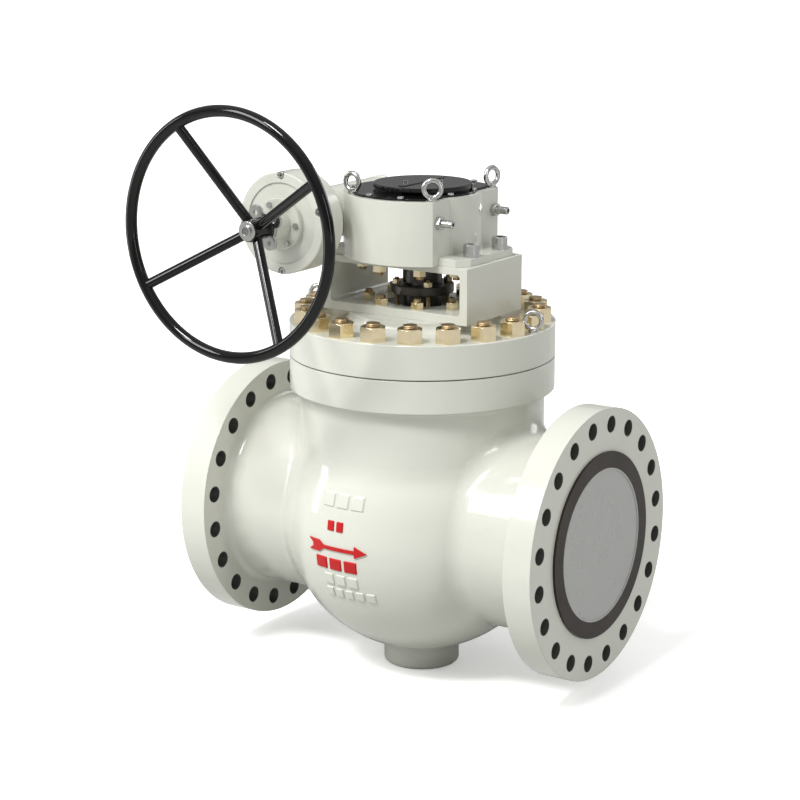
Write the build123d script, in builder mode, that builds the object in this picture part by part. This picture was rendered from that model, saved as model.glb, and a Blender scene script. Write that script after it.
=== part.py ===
from build123d import *
import os
from math import cos, pi, radians, sin, sqrt, tan

# Top-entry trunnion plug valve, NPS 16, Class 600, with a hand-operated worm gearbox.
# The pipe runs along X, the stem is the Z axis, and the underside of the foot is z = 0.

# ---------------------------------------------------------------- driving dimensions, mm
# Pipe ends: ASME B16.5, NPS 16, Class 600, raised face
face_to_face = 1060.0
flange_od = 685.8
flange_thickness = 76.2
raised_face_height = 6.4
raised_face_od = 469.9
flange_pcd = 603.2
flange_bolts = 20
inlet_hole_d = 41.3
outlet_hole_d = 42.0
flange_bore_d = 387.0
hub_d = 495.0

# Body casting
pipe_z = 400.0
bulb_r = 355.0
body_wall = 62.0
neck_r = 313.0
foot_r = 98.0
foot_edge_r = 10.0
foot_blend_r = 22.0
neck_blend_r = 120.0
flange_blend_r = 20.0
side_blend_r = 60.0
junction_band = 15.0
body_top_z = 825.0
body_flange_thickness = 82.0
body_flange_r = 338.5
port_r = 152.5
top_opening_gap = 10.0
pedestal_r = 75.0

# Ball-shaped plug and its trunnion
plug_seat_margin = 36.0
plug_flat_drop = 15.0
trunnion_r = 35.0
trunnion_bush_wall = 9.0
trunnion_depth = 40.0
tongue_width = 50.0
tongue_length = 140.0
tongue_depth = 38.0
pin_seat_depth = 95.0
pin_top_gap = 1.2
washer_height = 4.0
washer_edge = 6.0

# Seats
seat_wall = 41.5
seat_step = 10.0
seat_boss_edge = 28.0
seat_boss_drop = 24.0
seat_pocket_depth = 34.0
seat_line_offset = 21.5
insert_width = 9.0
insert_depth = 8.0
seat_spring_gap = 7.0
oring_d = 6.5
oring_groove_width = 7.8
spring_thickness = 2.3

# Hexagon nuts: the turned face's share of the width, and the corner angle
nut_face_share = 0.96
nut_corner_angle = 30.0

# Bonnet
gasket_thickness = 3.0
gasket_inner_r = 243.0
gasket_outer_r = 270.0
bonnet_thickness = 85.0
bonnet_stud_bc_r = 297.0
bonnet_stud_d = 36.0
bonnet_studs_count = 20
stud_depth = 72.0
stud_show = 8.0
bonnet_nut_across = 60.0
bonnet_nut_height = 36.0
bonnet_hub_r = 112.0
bonnet_spigot_depth = 34.0
pad_r = 188.0
pad_height = 25.0
pad_blend_r = 18.0
casting_edge_r = 2.0
edge_chamfer = 2.0
bonnet_stud_chamfer = 2.5
plug_clearance = 24.0
hub_flare = 40.0
bonnet_eye_r = 325.0
bonnet_eye_facing = -75.0

# Stem, packing and gland
stem_r = 38.0
stem_collar_r = 75.0
stem_collar_drop = 90.0
collar_bush_wall = 6.0
stem_bush_wall = 6.0
stem_top_drop = 13.0
key_width = 18.0
key_rise = 28.0
key_length = 84.0
sleeve_wall = 12.0
collar_gap = 8.0
packing_width = 10.0
packing_count = 6
packing_height = 10.0
gland_flange_edge = 14.0
gland_flange_thickness = 23.0
gland_bush_show = 45.0
gland_stud_offset = 16.0
gland_stud_d = 12.0
gland_stud_depth = 24.0
gland_stud_show = 4.0
gland_stud_chamfer = 1.0
gland_nut_across = 21.0
gland_nut_height = 12.0

# Yoke
yoke_length = 428.0
yoke_depth = 262.0
yoke_height = 142.0
yoke_bottom_wall = 22.0
yoke_top_wall = 18.0
yoke_side_wall = 22.0
yoke_hole_gap = 8.0
yoke_corner_r = 9.0
yoke_stud_points = ((53.0, 106.0), (125.0, 56.0))
yoke_stud_d = 20.0
yoke_stud_depth = 32.0
yoke_stud_chamfer = 1.5
yoke_nut_across = 30.0
yoke_nut_height = 18.0

# Gearbox
plate_thickness = 19.0
plate_length = 410.0
plate_depth = 255.0
plate_corner = 27.0
plate_hole_gap = 4.0
plate_skin = 3.0
drum_r = 200.0
drum_wall = 14.0
drum_cut_x = 128.5
hub_drum_r = 150.0
gearbox_height = 160.0
wheel_pitch_r = 177.0
worm_rise = 97.0
tunnel_gap = 5.5
tunnel_wall = 11.5
tunnel_back_y = 132.0
reducer_r = 126.0
reducer_wall = 13.0
reducer_front_y = -288.0
reducer_back_y = -214.0
reducer_floor = 10.0
reducer_screw_angles = (18.0, 90.0, 198.0, 270.0)
reducer_recess_r = 101.0
reducer_recess = 3.0
gearbox_stud_points = ((60.0, 106.0), (140.0, 62.0))
cap_screw_x = 186.0
cap_screw_y = 67.0
cap_screw_r = 12.0
cap_screw_head_d = 40.0
cap_screw_head_height = 32.0
cap_screw_socket_r = 9.0
stop_screw_y = 130.0
stop_screw_rise = 106.0
stop_screw_d = 20.0
stop_screw_show = 44.0
stop_screw_chamfer = 1.5
stop_socket_r = 5.6
stop_socket_depth = 8.0
stop_nut_across = 30.0
stop_gap = 0.6
stop_nut_height = 13.0
cover_thickness = 5.0
cover_inset = 16.0
cover_screw_r = 4.0
cover_screw_head_r = 8.5
cover_screw_head_height = 5.0
cover_screw_angles = (75.0, 115.0, 155.0, 205.0, 255.0, 285.0)
hub_screw_angles = (-25.0, 25.0)
cover_hole_gap = 4.0
screw_chamfer = 1.0
screw_boss_margin = 3.0
indicator_r = 125.0
indicator_height = 11.0
indicator_hub_edge = 7.0
indicator_screw_r = 4.0
indicator_screw_offset = 7.0
indicator_screws_count = 2
first_indicator_screw = 45.0
indicator_screw_depth = 12.0
indicator_screw_head_r = 6.4
pointer_width = 14.0
pointer_height = 2.0
pointer_tail = 100.0
pointer_neck = 69.0
pointer_tip = 106.0
inner_boss_r = 17.0
inner_boss_depth = 26.0
eye_x = 118.0
eye_y = 140.0
gearbox_eye_facing = (-15.0, -57.0, -95.0)
eyebolt_ring_r = 21.0
eyebolt_wire_r = 6.3
eyebolt_rise = 30.0
eyebolt_collar = 5.0
eyebolt_collar_r = 11.7
eyebolt_neck_r = 7.6
eyebolt_shank_r = 9.0
eyebolt_shank_length = 20.0

# Worm gear
worm_ratio = 60
worm_pitch_r = 44.0
wheel_width = 46.0
wheel_hub_wall = 20.0
wheel_hub_rise = 8.0
wheel_teeth = 19
worm_tooth_share = 0.34
worm_addendum = 5.0
worm_dedendum = 6.5
thread_slope = 20.0
worm_turns = 7
worm_bearing_r = 46.0
worm_shaft_r = 26.0

worm_bearing_width = 28.0
bearing_shoulder = 2.0
worm_end_gap = 3.0
end_cap_lip = 3.0
end_cap_thickness = 12.0
end_cap_screws = 6
first_end_cap_screw = 30.0

# Planetary reduction behind the handwheel
addendum_factor = 0.8
dedendum_factor = 1.05
gear_module = 2.75
sun_teeth = 18
planet_teeth = 27
planet_count = 3
gear_width = 24.0
ring_rim = 10.0
planet_pin_r = 9.0
carrier_r = 84.0
carrier_thickness = 12.0
carrier_spigot_r = 20.0
input_shaft_r = 16.0

# Reducer cover, input bearing and handwheel
reducer_cover_thickness = 12.0
reducer_screw_r = 4.5
reducer_screw_head_r = 8.5
reducer_screw_head_height = 9.0
reducer_screw_depth = 25.0
reducer_screw_pocket_gap = 2.0
bearing_flange_r = 64.0
bearing_flange_thickness = 14.0
bearing_neck_r = 36.5
bearing_screw_bc_r = 53.0
bearing_screw_r = 4.0
bearing_screws_count = 6
bearing_screw_across = 13.6
bearing_screw_head = 5.6
bearing_screw_length = 20.0
bearing_screw_depth = 18.0
bearing_neck_length = 54.0
lobe_plate_r = 60.0
lobe_plate_y = -370.0
lobe_thickness = 8.0
lobe_r = 19.2
lobe_centre_r = 37.2
lobe_arm_width = 32.6
lobe_hole_r = 6.3
handwheel_r = 297.0
handwheel_rim_r = 14.5
handwheel_rim_y = -516.0
handwheel_hub_r = 27.0
handwheel_hub_front_y = -436.0
spoke_r = 12.5
spoke_count = 4
first_spoke_angle = 30.0
shaft_thread_r = 10.0
shaft_thread_length = 8.0
washer_r = 24.5
nut_washer_thickness = 5.0
wheel_nut_r = 13.7

# Shipping covers and the raised flow arrow
cover_cap_depth = 24.0
cover_cap_wall = 4.0
arrow_length = 166.0
arrow_drop = 14.0
arrow_x = -102.0
arrow_shaft = 9.0
arrow_head = 30.0
arrow_point = 34.0
arrow_tail = 36.0
arrow_raise = 3.5
arrow_barb_back = 14.4
arrow_barb_front = 21.6
arrow_depth = 71.0
cover_lip = 2.0

# Clearances
running = 0.05
static_gap = 0.15
press = 0.02
plug_gap = 0.4
face_gap = 0.3
joint_gap = 1.0
tooth_play = 0.9
insert_gap = 0.1

# ---------------------------------------------------------------- places worked out once
seat_line_r = port_r + seat_line_offset
seat_outer_r = port_r + seat_wall
seat_skirt_r = seat_outer_r - seat_step
seat_boss_r = seat_outer_r + seat_boss_edge
plug_r = seat_outer_r + plug_seat_margin
plug_flat = plug_r - plug_flat_drop
seat_boss_x = plug_r - seat_boss_drop
top_opening_r = plug_r + top_opening_gap
sleeve_r = stem_r + sleeve_wall
gland_stud_bc_r = sleeve_r + gland_stud_offset
gland_flange_r = gland_stud_bc_r + gland_flange_edge
yoke_hole_r = gland_flange_r + yoke_hole_gap
plate_hole_r = sleeve_r + plate_hole_gap
tunnel_bore_r = worm_pitch_r + worm_addendum + tunnel_gap
tunnel_r = tunnel_bore_r + tunnel_wall
end_cap_r = tunnel_r + end_cap_lip
wheel_hub_r = stem_r + wheel_hub_wall
indicator_screw_bc_r = stem_r + indicator_screw_offset
indicator_hub_r = indicator_screw_bc_r + indicator_hub_edge
face_x = face_to_face / 2
flange_front_x = face_x - raised_face_height
flange_back_x = flange_front_x - flange_thickness
flange_r = flange_od / 2
bore_r = flange_bore_d / 2
body_flange_z = body_top_z - body_flange_thickness
bonnet_z = body_top_z + gasket_thickness
bonnet_top_z = bonnet_z + bonnet_thickness
yoke_z = bonnet_top_z + pad_height
yoke_top_z = yoke_z + yoke_height
plate_top_z = yoke_top_z + plate_thickness
drum_top_z = yoke_top_z + gearbox_height
stem_collar_top_z = body_top_z - stem_collar_drop
key_bottom_z = yoke_top_z + key_rise
worm_z = yoke_top_z + worm_rise
stop_screw_z = yoke_top_z + stop_screw_rise
arrow_z = pipe_z - arrow_drop
wheel_hub_top_z = worm_z + wheel_width / 2 + wheel_hub_rise
plug_bottom_z = pipe_z - plug_flat
plug_top_z = pipe_z + plug_flat
cavity_r = bulb_r - body_wall
chamber_r = stem_r + packing_width
chamber_bottom_z = yoke_z - packing_count * packing_height - gland_bush_show / 2
worm_x = -wheel_pitch_r - worm_pitch_r
worm_module = 2 * wheel_pitch_r / worm_ratio
worm_pitch = pi * worm_module
ring_teeth = sun_teeth + 2 * planet_teeth
sun_pitch_r = gear_module * sun_teeth / 2
planet_pitch_r = gear_module * planet_teeth / 2
ring_pitch_r = gear_module * ring_teeth / 2
planet_orbit_r = sun_pitch_r + planet_pitch_r
half_turn = 180.0
quarter_turn = 90.0
full_turn = 360.0


def save(piece, name):
    """Label a finished sub-part and write it under its own name."""
    piece.part.label = name
    export_step(piece.part, os.path.join("parts", name + ".step"))


def mirrored_points(points):
    """Each first-quadrant point in all four quadrants."""
    return [(sx * x, sy * y) for x, y in points for sx in (-1, 1) for sy in (-1, 1)]


def ring_points(radius, count, first_angle=0.0):
    """Points evenly spaced on a circle about the origin."""
    angles = [radians(first_angle + full_turn * i / count) for i in range(count)]
    return [(radius * cos(a), radius * sin(a)) for a in angles]


def rods(points, radius, low_z, high_z, chamfer_size):
    """A group of plain upright rods, such as studs, with chamfered ends."""
    with BuildPart() as group:
        with BuildSketch(Plane.XY.offset(low_z)):
            with Locations(*points):
                Circle(radius)
        extrude(amount=high_z - low_z)
        ends = group.edges().filter_by(GeomType.CIRCLE)
        chamfer(ends, chamfer_size)
    return group


def hex_nuts(points, across, height, hole_r, base_z):
    """A group of upright hexagon nuts with the corners of the top face turned down."""
    with BuildPart() as group:
        with BuildSketch(Plane.XY.offset(base_z)):
            with Locations(*points):
                RegularPolygon(across / 2, 6, major_radius=False)
                Circle(hole_r, mode=Mode.SUBTRACT)
        extrude(amount=height)
        corner_r = across / 2 / cos(radians(nut_corner_angle)) + 1
        face_r = nut_face_share * across / 2
        drop = (corner_r - face_r) * tan(radians(nut_corner_angle))
        for x, y in points:
            with BuildSketch(Plane.XZ.offset(-y)):
                with BuildLine():
                    Polyline(
                        (x + corner_r, base_z + height),
                        (x + face_r, base_z + height),
                        (x + corner_r, base_z + height - drop),
                        close=True,
                    )
                make_face()
            revolve(axis=Axis((x, y, 0), (0, 0, 1)), mode=Mode.SUBTRACT)
    return group


# ---------------------------------------------------------------- body casting
def body_outer():
    """The casting's outside: foot, bulb, upper neck and bolting flange, with both pipe ends."""
    foot_top_z = pipe_z - sqrt(bulb_r**2 - foot_r**2)
    neck_start_z = pipe_z + sqrt(bulb_r**2 - neck_r**2)
    with BuildPart() as outer:
        with BuildSketch(Plane.XZ) as profile:
            with BuildLine():
                Polyline((0, body_top_z), (0, 0), (foot_r, 0), (foot_r, foot_top_z))
                ThreePointArc((foot_r, foot_top_z), (bulb_r, pipe_z), (neck_r, neck_start_z))
                Polyline(
                    (neck_r, neck_start_z),
                    (neck_r, body_flange_z),
                    (body_flange_r, body_flange_z),
                    (body_flange_r, body_top_z),
                    (0, body_top_z),
                )
            make_face()
            for corner, radius in (
                ((foot_r, 0), foot_edge_r),
                ((foot_r, foot_top_z), foot_blend_r),
                ((neck_r, neck_start_z), neck_blend_r),
                ((neck_r, body_flange_z), flange_blend_r),
            ):
                fillet(profile.vertices().sort_by_distance(corner)[0], radius)
        revolve(axis=Axis.Z)
        with BuildSketch(Plane.XZ) as end_profile:
            with BuildLine():
                Polyline(
                    (0, pipe_z),
                    (0, pipe_z + hub_d / 2),
                    (flange_back_x, pipe_z + hub_d / 2),
                    (flange_back_x, pipe_z + flange_r),
                    (flange_front_x, pipe_z + flange_r),
                    (flange_front_x, pipe_z + raised_face_od / 2),
                    (face_x, pipe_z + raised_face_od / 2),
                    (face_x, pipe_z),
                    close=True,
                )
            make_face()
            hub_corner = end_profile.vertices().sort_by_distance((flange_back_x, pipe_z + hub_d / 2))[0]
            fillet(hub_corner, flange_blend_r)
            mirror(about=Plane.YZ)
        revolve(axis=Axis((0, 0, pipe_z), (1, 0, 0)))
        junctions = [
            edge
            for edge in outer.edges()
            if abs(edge.center().Z - pipe_z) < hub_d / 2 + junction_band
            and seat_skirt_r < abs(edge.center().X) < neck_r + junction_band
        ]
        fillet(junctions, side_blend_r)
    return outer


def body_cavity():
    """The hollow round the plug, open at the top, less the two bosses that hold the seats."""
    with BuildPart() as hollow:
        with Locations((0, 0, pipe_z)):
            Sphere(cavity_r)
        with BuildSketch(Plane.XY.offset(pipe_z)):
            Circle(top_opening_r)
        extrude(amount=body_top_z - pipe_z + 1)
        with BuildSketch(Plane.YZ.offset(seat_boss_x)) as boss_face:
            with Locations((0, pipe_z)):
                Circle(seat_boss_r)
        extrude(amount=cavity_r, mode=Mode.SUBTRACT)
        with BuildSketch(Plane.YZ.offset(-seat_boss_x)):
            with Locations((0, pipe_z)):
                Circle(seat_boss_r)
        extrude(amount=-cavity_r, mode=Mode.SUBTRACT)
        with BuildSketch(Plane.XY):
            Circle(pedestal_r)
        extrude(amount=plug_bottom_z - washer_height, mode=Mode.SUBTRACT)
    return hollow


def seat_bore(side):
    """One end's flow way: the flange bore, its taper, and the pocket that takes the seat."""
    pocket_x = seat_boss_x + seat_pocket_depth
    taper_x = flange_back_x
    with BuildPart() as bore:
        with BuildSketch(Plane.XZ):
            with BuildLine():
                Polyline(
                    (side * (seat_boss_x - 1), pipe_z),
                    (side * (seat_boss_x - 1), pipe_z + seat_skirt_r + running),
                    (side * pocket_x, pipe_z + seat_skirt_r + running),
                    (side * pocket_x, pipe_z + port_r),
                    (side * taper_x, pipe_z + bore_r),
                    (side * (face_x + 1), pipe_z + bore_r),
                    (side * (face_x + 1), pipe_z),
                    close=True,
                )
            make_face()
        revolve(axis=Axis((0, 0, pipe_z), (1, 0, 0)))
    return bore


outer_shape = body_outer()
hollow_shape = body_cavity()
inlet_bore = seat_bore(-1)
outlet_bore = seat_bore(1)
trunnion_pin_bottom_z = plug_bottom_z - washer_height - pin_seat_depth
bonnet_stud_points = ring_points(bonnet_stud_bc_r, bonnet_studs_count, half_turn / bonnet_studs_count)
bonnet_stud_r = bonnet_stud_d / 2

with BuildPart() as body:
    add(outer_shape.part)
    add(hollow_shape.part, mode=Mode.SUBTRACT)
    add(inlet_bore.part, mode=Mode.SUBTRACT)
    add(outlet_bore.part, mode=Mode.SUBTRACT)
    with BuildSketch(Plane.XY.offset(trunnion_pin_bottom_z)):
        Circle(trunnion_r + press)
    extrude(amount=pedestal_r * 2, mode=Mode.SUBTRACT)
    for start_x, hole_d in ((-face_x - 1, inlet_hole_d), (flange_back_x - 1, outlet_hole_d)):
        with BuildSketch(Plane.YZ.offset(start_x)):
            with Locations((0, pipe_z)):
                with PolarLocations(flange_pcd / 2, flange_bolts, half_turn / flange_bolts):
                    Circle(hole_d / 2)
        extrude(amount=face_x - flange_back_x + 2, mode=Mode.SUBTRACT)
    with BuildSketch(Plane.XY.offset(body_top_z)):
        with Locations(*bonnet_stud_points):
            Circle(bonnet_stud_r + static_gap)
    extrude(amount=-stud_depth, mode=Mode.SUBTRACT)

# ---------------------------------------------------------------- bonnet and its joint
with BuildPart() as bonnet_gasket:
    with BuildSketch(Plane.XY.offset(body_top_z)):
        Circle(gasket_outer_r)
        Circle(gasket_inner_r, mode=Mode.SUBTRACT)
    extrude(amount=gasket_thickness)

gland_stud_points = ring_points(gland_stud_bc_r, 4, half_turn / 4)
gland_stud_bottom_z = yoke_z - gland_stud_depth
yoke_stud_bottom_z = yoke_z - yoke_stud_depth
bonnet_bottom_z = plug_top_z + plug_clearance
collar_bottom_z = plug_top_z + collar_gap
collar_bore_r = stem_collar_r + collar_bush_wall
collar_bore_top_z = stem_collar_top_z + washer_height + face_gap
upper_bush_bottom_z = collar_bore_top_z + collar_gap

with BuildPart() as bonnet:
    with BuildSketch(Plane.XZ) as bonnet_profile:
        with BuildLine():
            Polyline(
                (chamber_r, chamber_bottom_z),
                (stem_r + stem_bush_wall, chamber_bottom_z),
                (stem_r + stem_bush_wall, collar_bore_top_z),
                (collar_bore_r, collar_bore_top_z),
                (collar_bore_r, bonnet_bottom_z),
                (bonnet_hub_r, bonnet_bottom_z),
                (bonnet_hub_r + hub_flare, bonnet_z - bonnet_spigot_depth),
                (top_opening_r - static_gap, bonnet_z - bonnet_spigot_depth),
                (top_opening_r - static_gap, bonnet_z),
                (body_flange_r, bonnet_z),
                (body_flange_r, bonnet_top_z),
                (pad_r, bonnet_top_z),
                (pad_r, yoke_z),
                (chamber_r, yoke_z),
                close=True,
            )
        make_face()
        for corner, radius in (
            ((pad_r, bonnet_top_z), pad_blend_r),
            ((body_flange_r, bonnet_top_z), casting_edge_r),
        ):
            fillet(bonnet_profile.vertices().sort_by_distance(corner)[0], radius)
    revolve(axis=Axis.Z)
    with BuildSketch(Plane.XY.offset(bonnet_top_z)):
        with Locations(*bonnet_stud_points):
            Circle(bonnet_stud_r + joint_gap)
    extrude(amount=-bonnet_thickness, mode=Mode.SUBTRACT)
    with BuildSketch(Plane.XY.offset(yoke_z)):
        with Locations(*gland_stud_points):
            Circle(gland_stud_d / 2 + static_gap)
    extrude(amount=gland_stud_bottom_z - yoke_z, mode=Mode.SUBTRACT)
    with BuildSketch(Plane.XY.offset(yoke_z)):
        with Locations(*mirrored_points(yoke_stud_points)):
            Circle(yoke_stud_d / 2 + static_gap)
    extrude(amount=yoke_stud_bottom_z - yoke_z, mode=Mode.SUBTRACT)
    with BuildSketch(Plane.XY.offset(bonnet_top_z)):
        with Locations((-bonnet_eye_r, 0), (bonnet_eye_r, 0)):
            Circle(eyebolt_shank_r + static_gap)
    extrude(amount=-eyebolt_shank_length - 1, mode=Mode.SUBTRACT)

bonnet_studs = rods(
    bonnet_stud_points,
    bonnet_stud_r,
    body_top_z - stud_depth + 1,
    bonnet_top_z + bonnet_nut_height + stud_show,
    bonnet_stud_chamfer,
)
bonnet_nuts = hex_nuts(
    bonnet_stud_points,
    bonnet_nut_across,
    bonnet_nut_height,
    bonnet_stud_r + static_gap,
    bonnet_top_z,
)


def eyebolts(places, base_z):
    """Lifting eyes: a ring on a round collar with a short threaded shank below it."""
    ring_z = base_z + eyebolt_rise
    with BuildPart() as group:
        for x, y, facing in places:
            with BuildSketch(Plane.XY.offset(base_z)):
                with Locations((x, y)):
                    Circle(eyebolt_collar_r)
            extrude(amount=eyebolt_collar)
            with BuildSketch(Plane.XY.offset(base_z)):
                with Locations((x, y)):
                    Circle(eyebolt_shank_r)
            extrude(amount=-eyebolt_shank_length)
            with BuildSketch(Plane.XY.offset(base_z + eyebolt_collar)):
                with Locations((x, y)):
                    Circle(eyebolt_neck_r)
            extrude(amount=ring_z - eyebolt_ring_r - base_z - eyebolt_collar + eyebolt_wire_r / 2)
            ring_axis = (cos(radians(facing)), sin(radians(facing)), 0)
            across = (-sin(radians(facing)), cos(radians(facing)), 0)
            with BuildSketch(Plane(origin=(x, y, ring_z), x_dir=(0, 0, 1), z_dir=across)):
                with Locations((eyebolt_ring_r, 0)):
                    Circle(eyebolt_wire_r)
            revolve(axis=Axis((x, y, ring_z), ring_axis))
    return group


bonnet_eyebolts = eyebolts(
    [(-bonnet_eye_r, 0, bonnet_eye_facing), (bonnet_eye_r, 0, bonnet_eye_facing)],
    bonnet_top_z,
)

# ---------------------------------------------------------------- plug, trunnion and seats
tongue_bottom_z = plug_top_z - tongue_depth
bush_top_z = plug_bottom_z + trunnion_depth
with BuildPart() as plug:
    with Locations((0, 0, pipe_z)):
        Sphere(plug_r)
        Box(2 * plug_r, 2 * plug_r, 2 * plug_flat, mode=Mode.INTERSECT)
        with Locations(Rotation(90, 0, 0)):
            Cylinder(port_r, 2 * plug_r, mode=Mode.SUBTRACT)
    with BuildSketch(Plane.XY.offset(plug_bottom_z)):
        Circle(trunnion_r + running + trunnion_bush_wall + press)
    extrude(amount=trunnion_depth, mode=Mode.SUBTRACT)
    with BuildSketch(Plane.XY.offset(plug_top_z)):
        Rectangle(tongue_width + 2 * static_gap, tongue_length + 2 * static_gap)
    extrude(amount=-tongue_depth - static_gap, mode=Mode.SUBTRACT)

with BuildPart() as trunnion_bush:
    with BuildSketch(Plane.XY.offset(plug_bottom_z)):
        Circle(trunnion_r + running + trunnion_bush_wall)
        Circle(trunnion_r + running, mode=Mode.SUBTRACT)
    extrude(amount=trunnion_depth - press)

with BuildPart() as trunnion_pin:
    with BuildSketch(Plane.XY.offset(trunnion_pin_bottom_z)):
        Circle(trunnion_r)
    extrude(amount=bush_top_z - pin_top_gap - trunnion_pin_bottom_z)
    pin_ends = trunnion_pin.edges().filter_by(GeomType.CIRCLE)
    chamfer(pin_ends, edge_chamfer)

with BuildPart() as trunnion_washer:
    with BuildSketch(Plane.XY.offset(plug_bottom_z - washer_height)):
        Circle(pedestal_r - washer_edge)
        Circle(trunnion_r + joint_gap, mode=Mode.SUBTRACT)
    extrude(amount=washer_height - face_gap)


def ball_x(radius, gap):
    """Where a surface a little outside the plug stands at a distance from the bore's axis."""
    return sqrt((plug_r + gap) ** 2 - radius**2)


def seat_ring(side):
    """A seat: a collar lying on the plug and a skirt that slides in the body's pocket."""
    collar_back_x = seat_boss_x - seat_spring_gap
    skirt_end_x = seat_boss_x + seat_pocket_depth - joint_gap
    groove_x = seat_boss_x + seat_pocket_depth / 2
    mid_r = (port_r + seat_outer_r) / 2
    with BuildPart() as seat:
        with BuildSketch(Plane.XZ):
            with BuildLine():
                Polyline(
                    (side * ball_x(seat_outer_r, plug_gap), pipe_z + seat_outer_r),
                    (side * collar_back_x, pipe_z + seat_outer_r),
                    (side * collar_back_x, pipe_z + seat_skirt_r),
                    (side * (groove_x - oring_groove_width / 2), pipe_z + seat_skirt_r),
                    (side * (groove_x - oring_groove_width / 2), pipe_z + seat_skirt_r - oring_d),
                    (side * (groove_x + oring_groove_width / 2), pipe_z + seat_skirt_r - oring_d),
                    (side * (groove_x + oring_groove_width / 2), pipe_z + seat_skirt_r),
                    (side * skirt_end_x, pipe_z + seat_skirt_r),
                    (side * skirt_end_x, pipe_z + port_r),
                    (side * ball_x(port_r, plug_gap), pipe_z + port_r),
                )
                ThreePointArc(
                    (side * ball_x(port_r, plug_gap), pipe_z + port_r),
                    (side * ball_x(mid_r, plug_gap), pipe_z + mid_r),
                    (side * ball_x(seat_outer_r, plug_gap), pipe_z + seat_outer_r),
                )
            make_face()
        revolve(axis=Axis((0, 0, pipe_z), (1, 0, 0)))
        add(insert_shape(side, press).part, mode=Mode.SUBTRACT)
    return seat


def insert_shape(side, allowance):
    """The soft sealing ring let into a seat's face, or with an allowance its groove."""
    low_r = seat_line_r - insert_width / 2 - allowance
    high_r = seat_line_r + insert_width / 2 + allowance
    back_x = ball_x(seat_line_r, 0) + insert_depth + allowance
    front_gap = insert_gap - allowance
    with BuildPart() as insert:
        with BuildSketch(Plane.XZ):
            with BuildLine():
                Polyline(
                    (side * ball_x(high_r, front_gap), pipe_z + high_r),
                    (side * back_x, pipe_z + high_r),
                    (side * back_x, pipe_z + low_r),
                    (side * ball_x(low_r, front_gap), pipe_z + low_r),
                )
                ThreePointArc(
                    (side * ball_x(low_r, front_gap), pipe_z + low_r),
                    (side * ball_x(seat_line_r, front_gap), pipe_z + seat_line_r),
                    (side * ball_x(high_r, front_gap), pipe_z + high_r),
                )
            make_face()
        revolve(axis=Axis((0, 0, pipe_z), (1, 0, 0)))
    return insert


def seat_spring(side):
    """A shallow disc spring that holds the seat against the plug."""
    front_x = seat_boss_x - seat_spring_gap + static_gap
    back_x = seat_boss_x - static_gap
    with BuildPart() as spring:
        with BuildSketch(Plane.XZ):
            with BuildLine():
                Polyline(
                    (side * front_x, pipe_z + seat_outer_r),
                    (side * (front_x + spring_thickness), pipe_z + seat_outer_r),
                    (side * back_x, pipe_z + seat_skirt_r + joint_gap),
                    (side * (back_x - spring_thickness), pipe_z + seat_skirt_r + joint_gap),
                    close=True,
                )
            make_face()
        revolve(axis=Axis((0, 0, pipe_z), (1, 0, 0)))
    return spring


def seat_oring(side):
    """The O-ring in the groove of a seat's skirt."""
    groove_x = seat_boss_x + seat_pocket_depth / 2
    with BuildPart() as oring:
        with Locations(Location((side * groove_x, 0, pipe_z), (0, 90, 0))):
            Torus(seat_skirt_r + running - oring_d / 2 - press, oring_d / 2 - press)
    return oring


seat_ring_inlet = seat_ring(-1)
seat_ring_outlet = seat_ring(1)
with BuildPart() as seat_inserts:
    add(insert_shape(-1, 0).part)
    add(insert_shape(1, 0).part)
with BuildPart() as seat_springs:
    add(seat_spring(-1).part)
    add(seat_spring(1).part)
with BuildPart() as seat_orings:
    add(seat_oring(-1).part)
    add(seat_oring(1).part)

# ---------------------------------------------------------------- stem, bushes and packing
stem_top_z = wheel_hub_top_z - stem_top_drop
with BuildPart() as stem:
    with BuildSketch(Plane.XY.offset(tongue_bottom_z)):
        Rectangle(tongue_width, tongue_length)
        Circle(stem_collar_r - joint_gap, mode=Mode.INTERSECT)
    extrude(amount=collar_bottom_z - tongue_bottom_z)
    with BuildSketch(Plane.XY.offset(collar_bottom_z)):
        Circle(stem_collar_r)
    extrude(amount=stem_collar_top_z - collar_bottom_z)
    with BuildSketch(Plane.XY.offset(stem_collar_top_z)):
        Circle(stem_r)
    extrude(amount=stem_top_z - stem_collar_top_z)
    chamfer(stem.edges().sort_by(Axis.Z)[-1], edge_chamfer)
    with BuildSketch(Plane.XY.offset(key_bottom_z)):
        with Locations((stem_r, 0)):
            Rectangle(key_width, key_width)
    extrude(amount=key_length, mode=Mode.SUBTRACT)

with BuildPart() as stem_key:
    with BuildSketch(Plane.XY.offset(key_bottom_z + static_gap)):
        with Locations((stem_r, 0)):
            Rectangle(key_width - 2 * press, key_width - 2 * press)
    extrude(amount=key_length - 2 * static_gap)

with BuildPart() as stem_collar_bush:
    with BuildSketch(Plane.XY.offset(bonnet_bottom_z)):
        Circle(collar_bore_r - press)
        Circle(stem_collar_r + running, mode=Mode.SUBTRACT)
    extrude(amount=stem_collar_top_z - joint_gap - bonnet_bottom_z)

with BuildPart() as stem_thrust_washer:
    with BuildSketch(Plane.XY.offset(stem_collar_top_z + face_gap)):
        Circle(stem_collar_r - joint_gap)
        Circle(stem_r + joint_gap, mode=Mode.SUBTRACT)
    extrude(amount=washer_height)

with BuildPart() as stem_bush:
    with BuildSketch(Plane.XY.offset(upper_bush_bottom_z)):
        Circle(stem_r + stem_bush_wall - press)
        Circle(stem_r + running, mode=Mode.SUBTRACT)
    extrude(amount=chamber_bottom_z - upper_bush_bottom_z)

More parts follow.
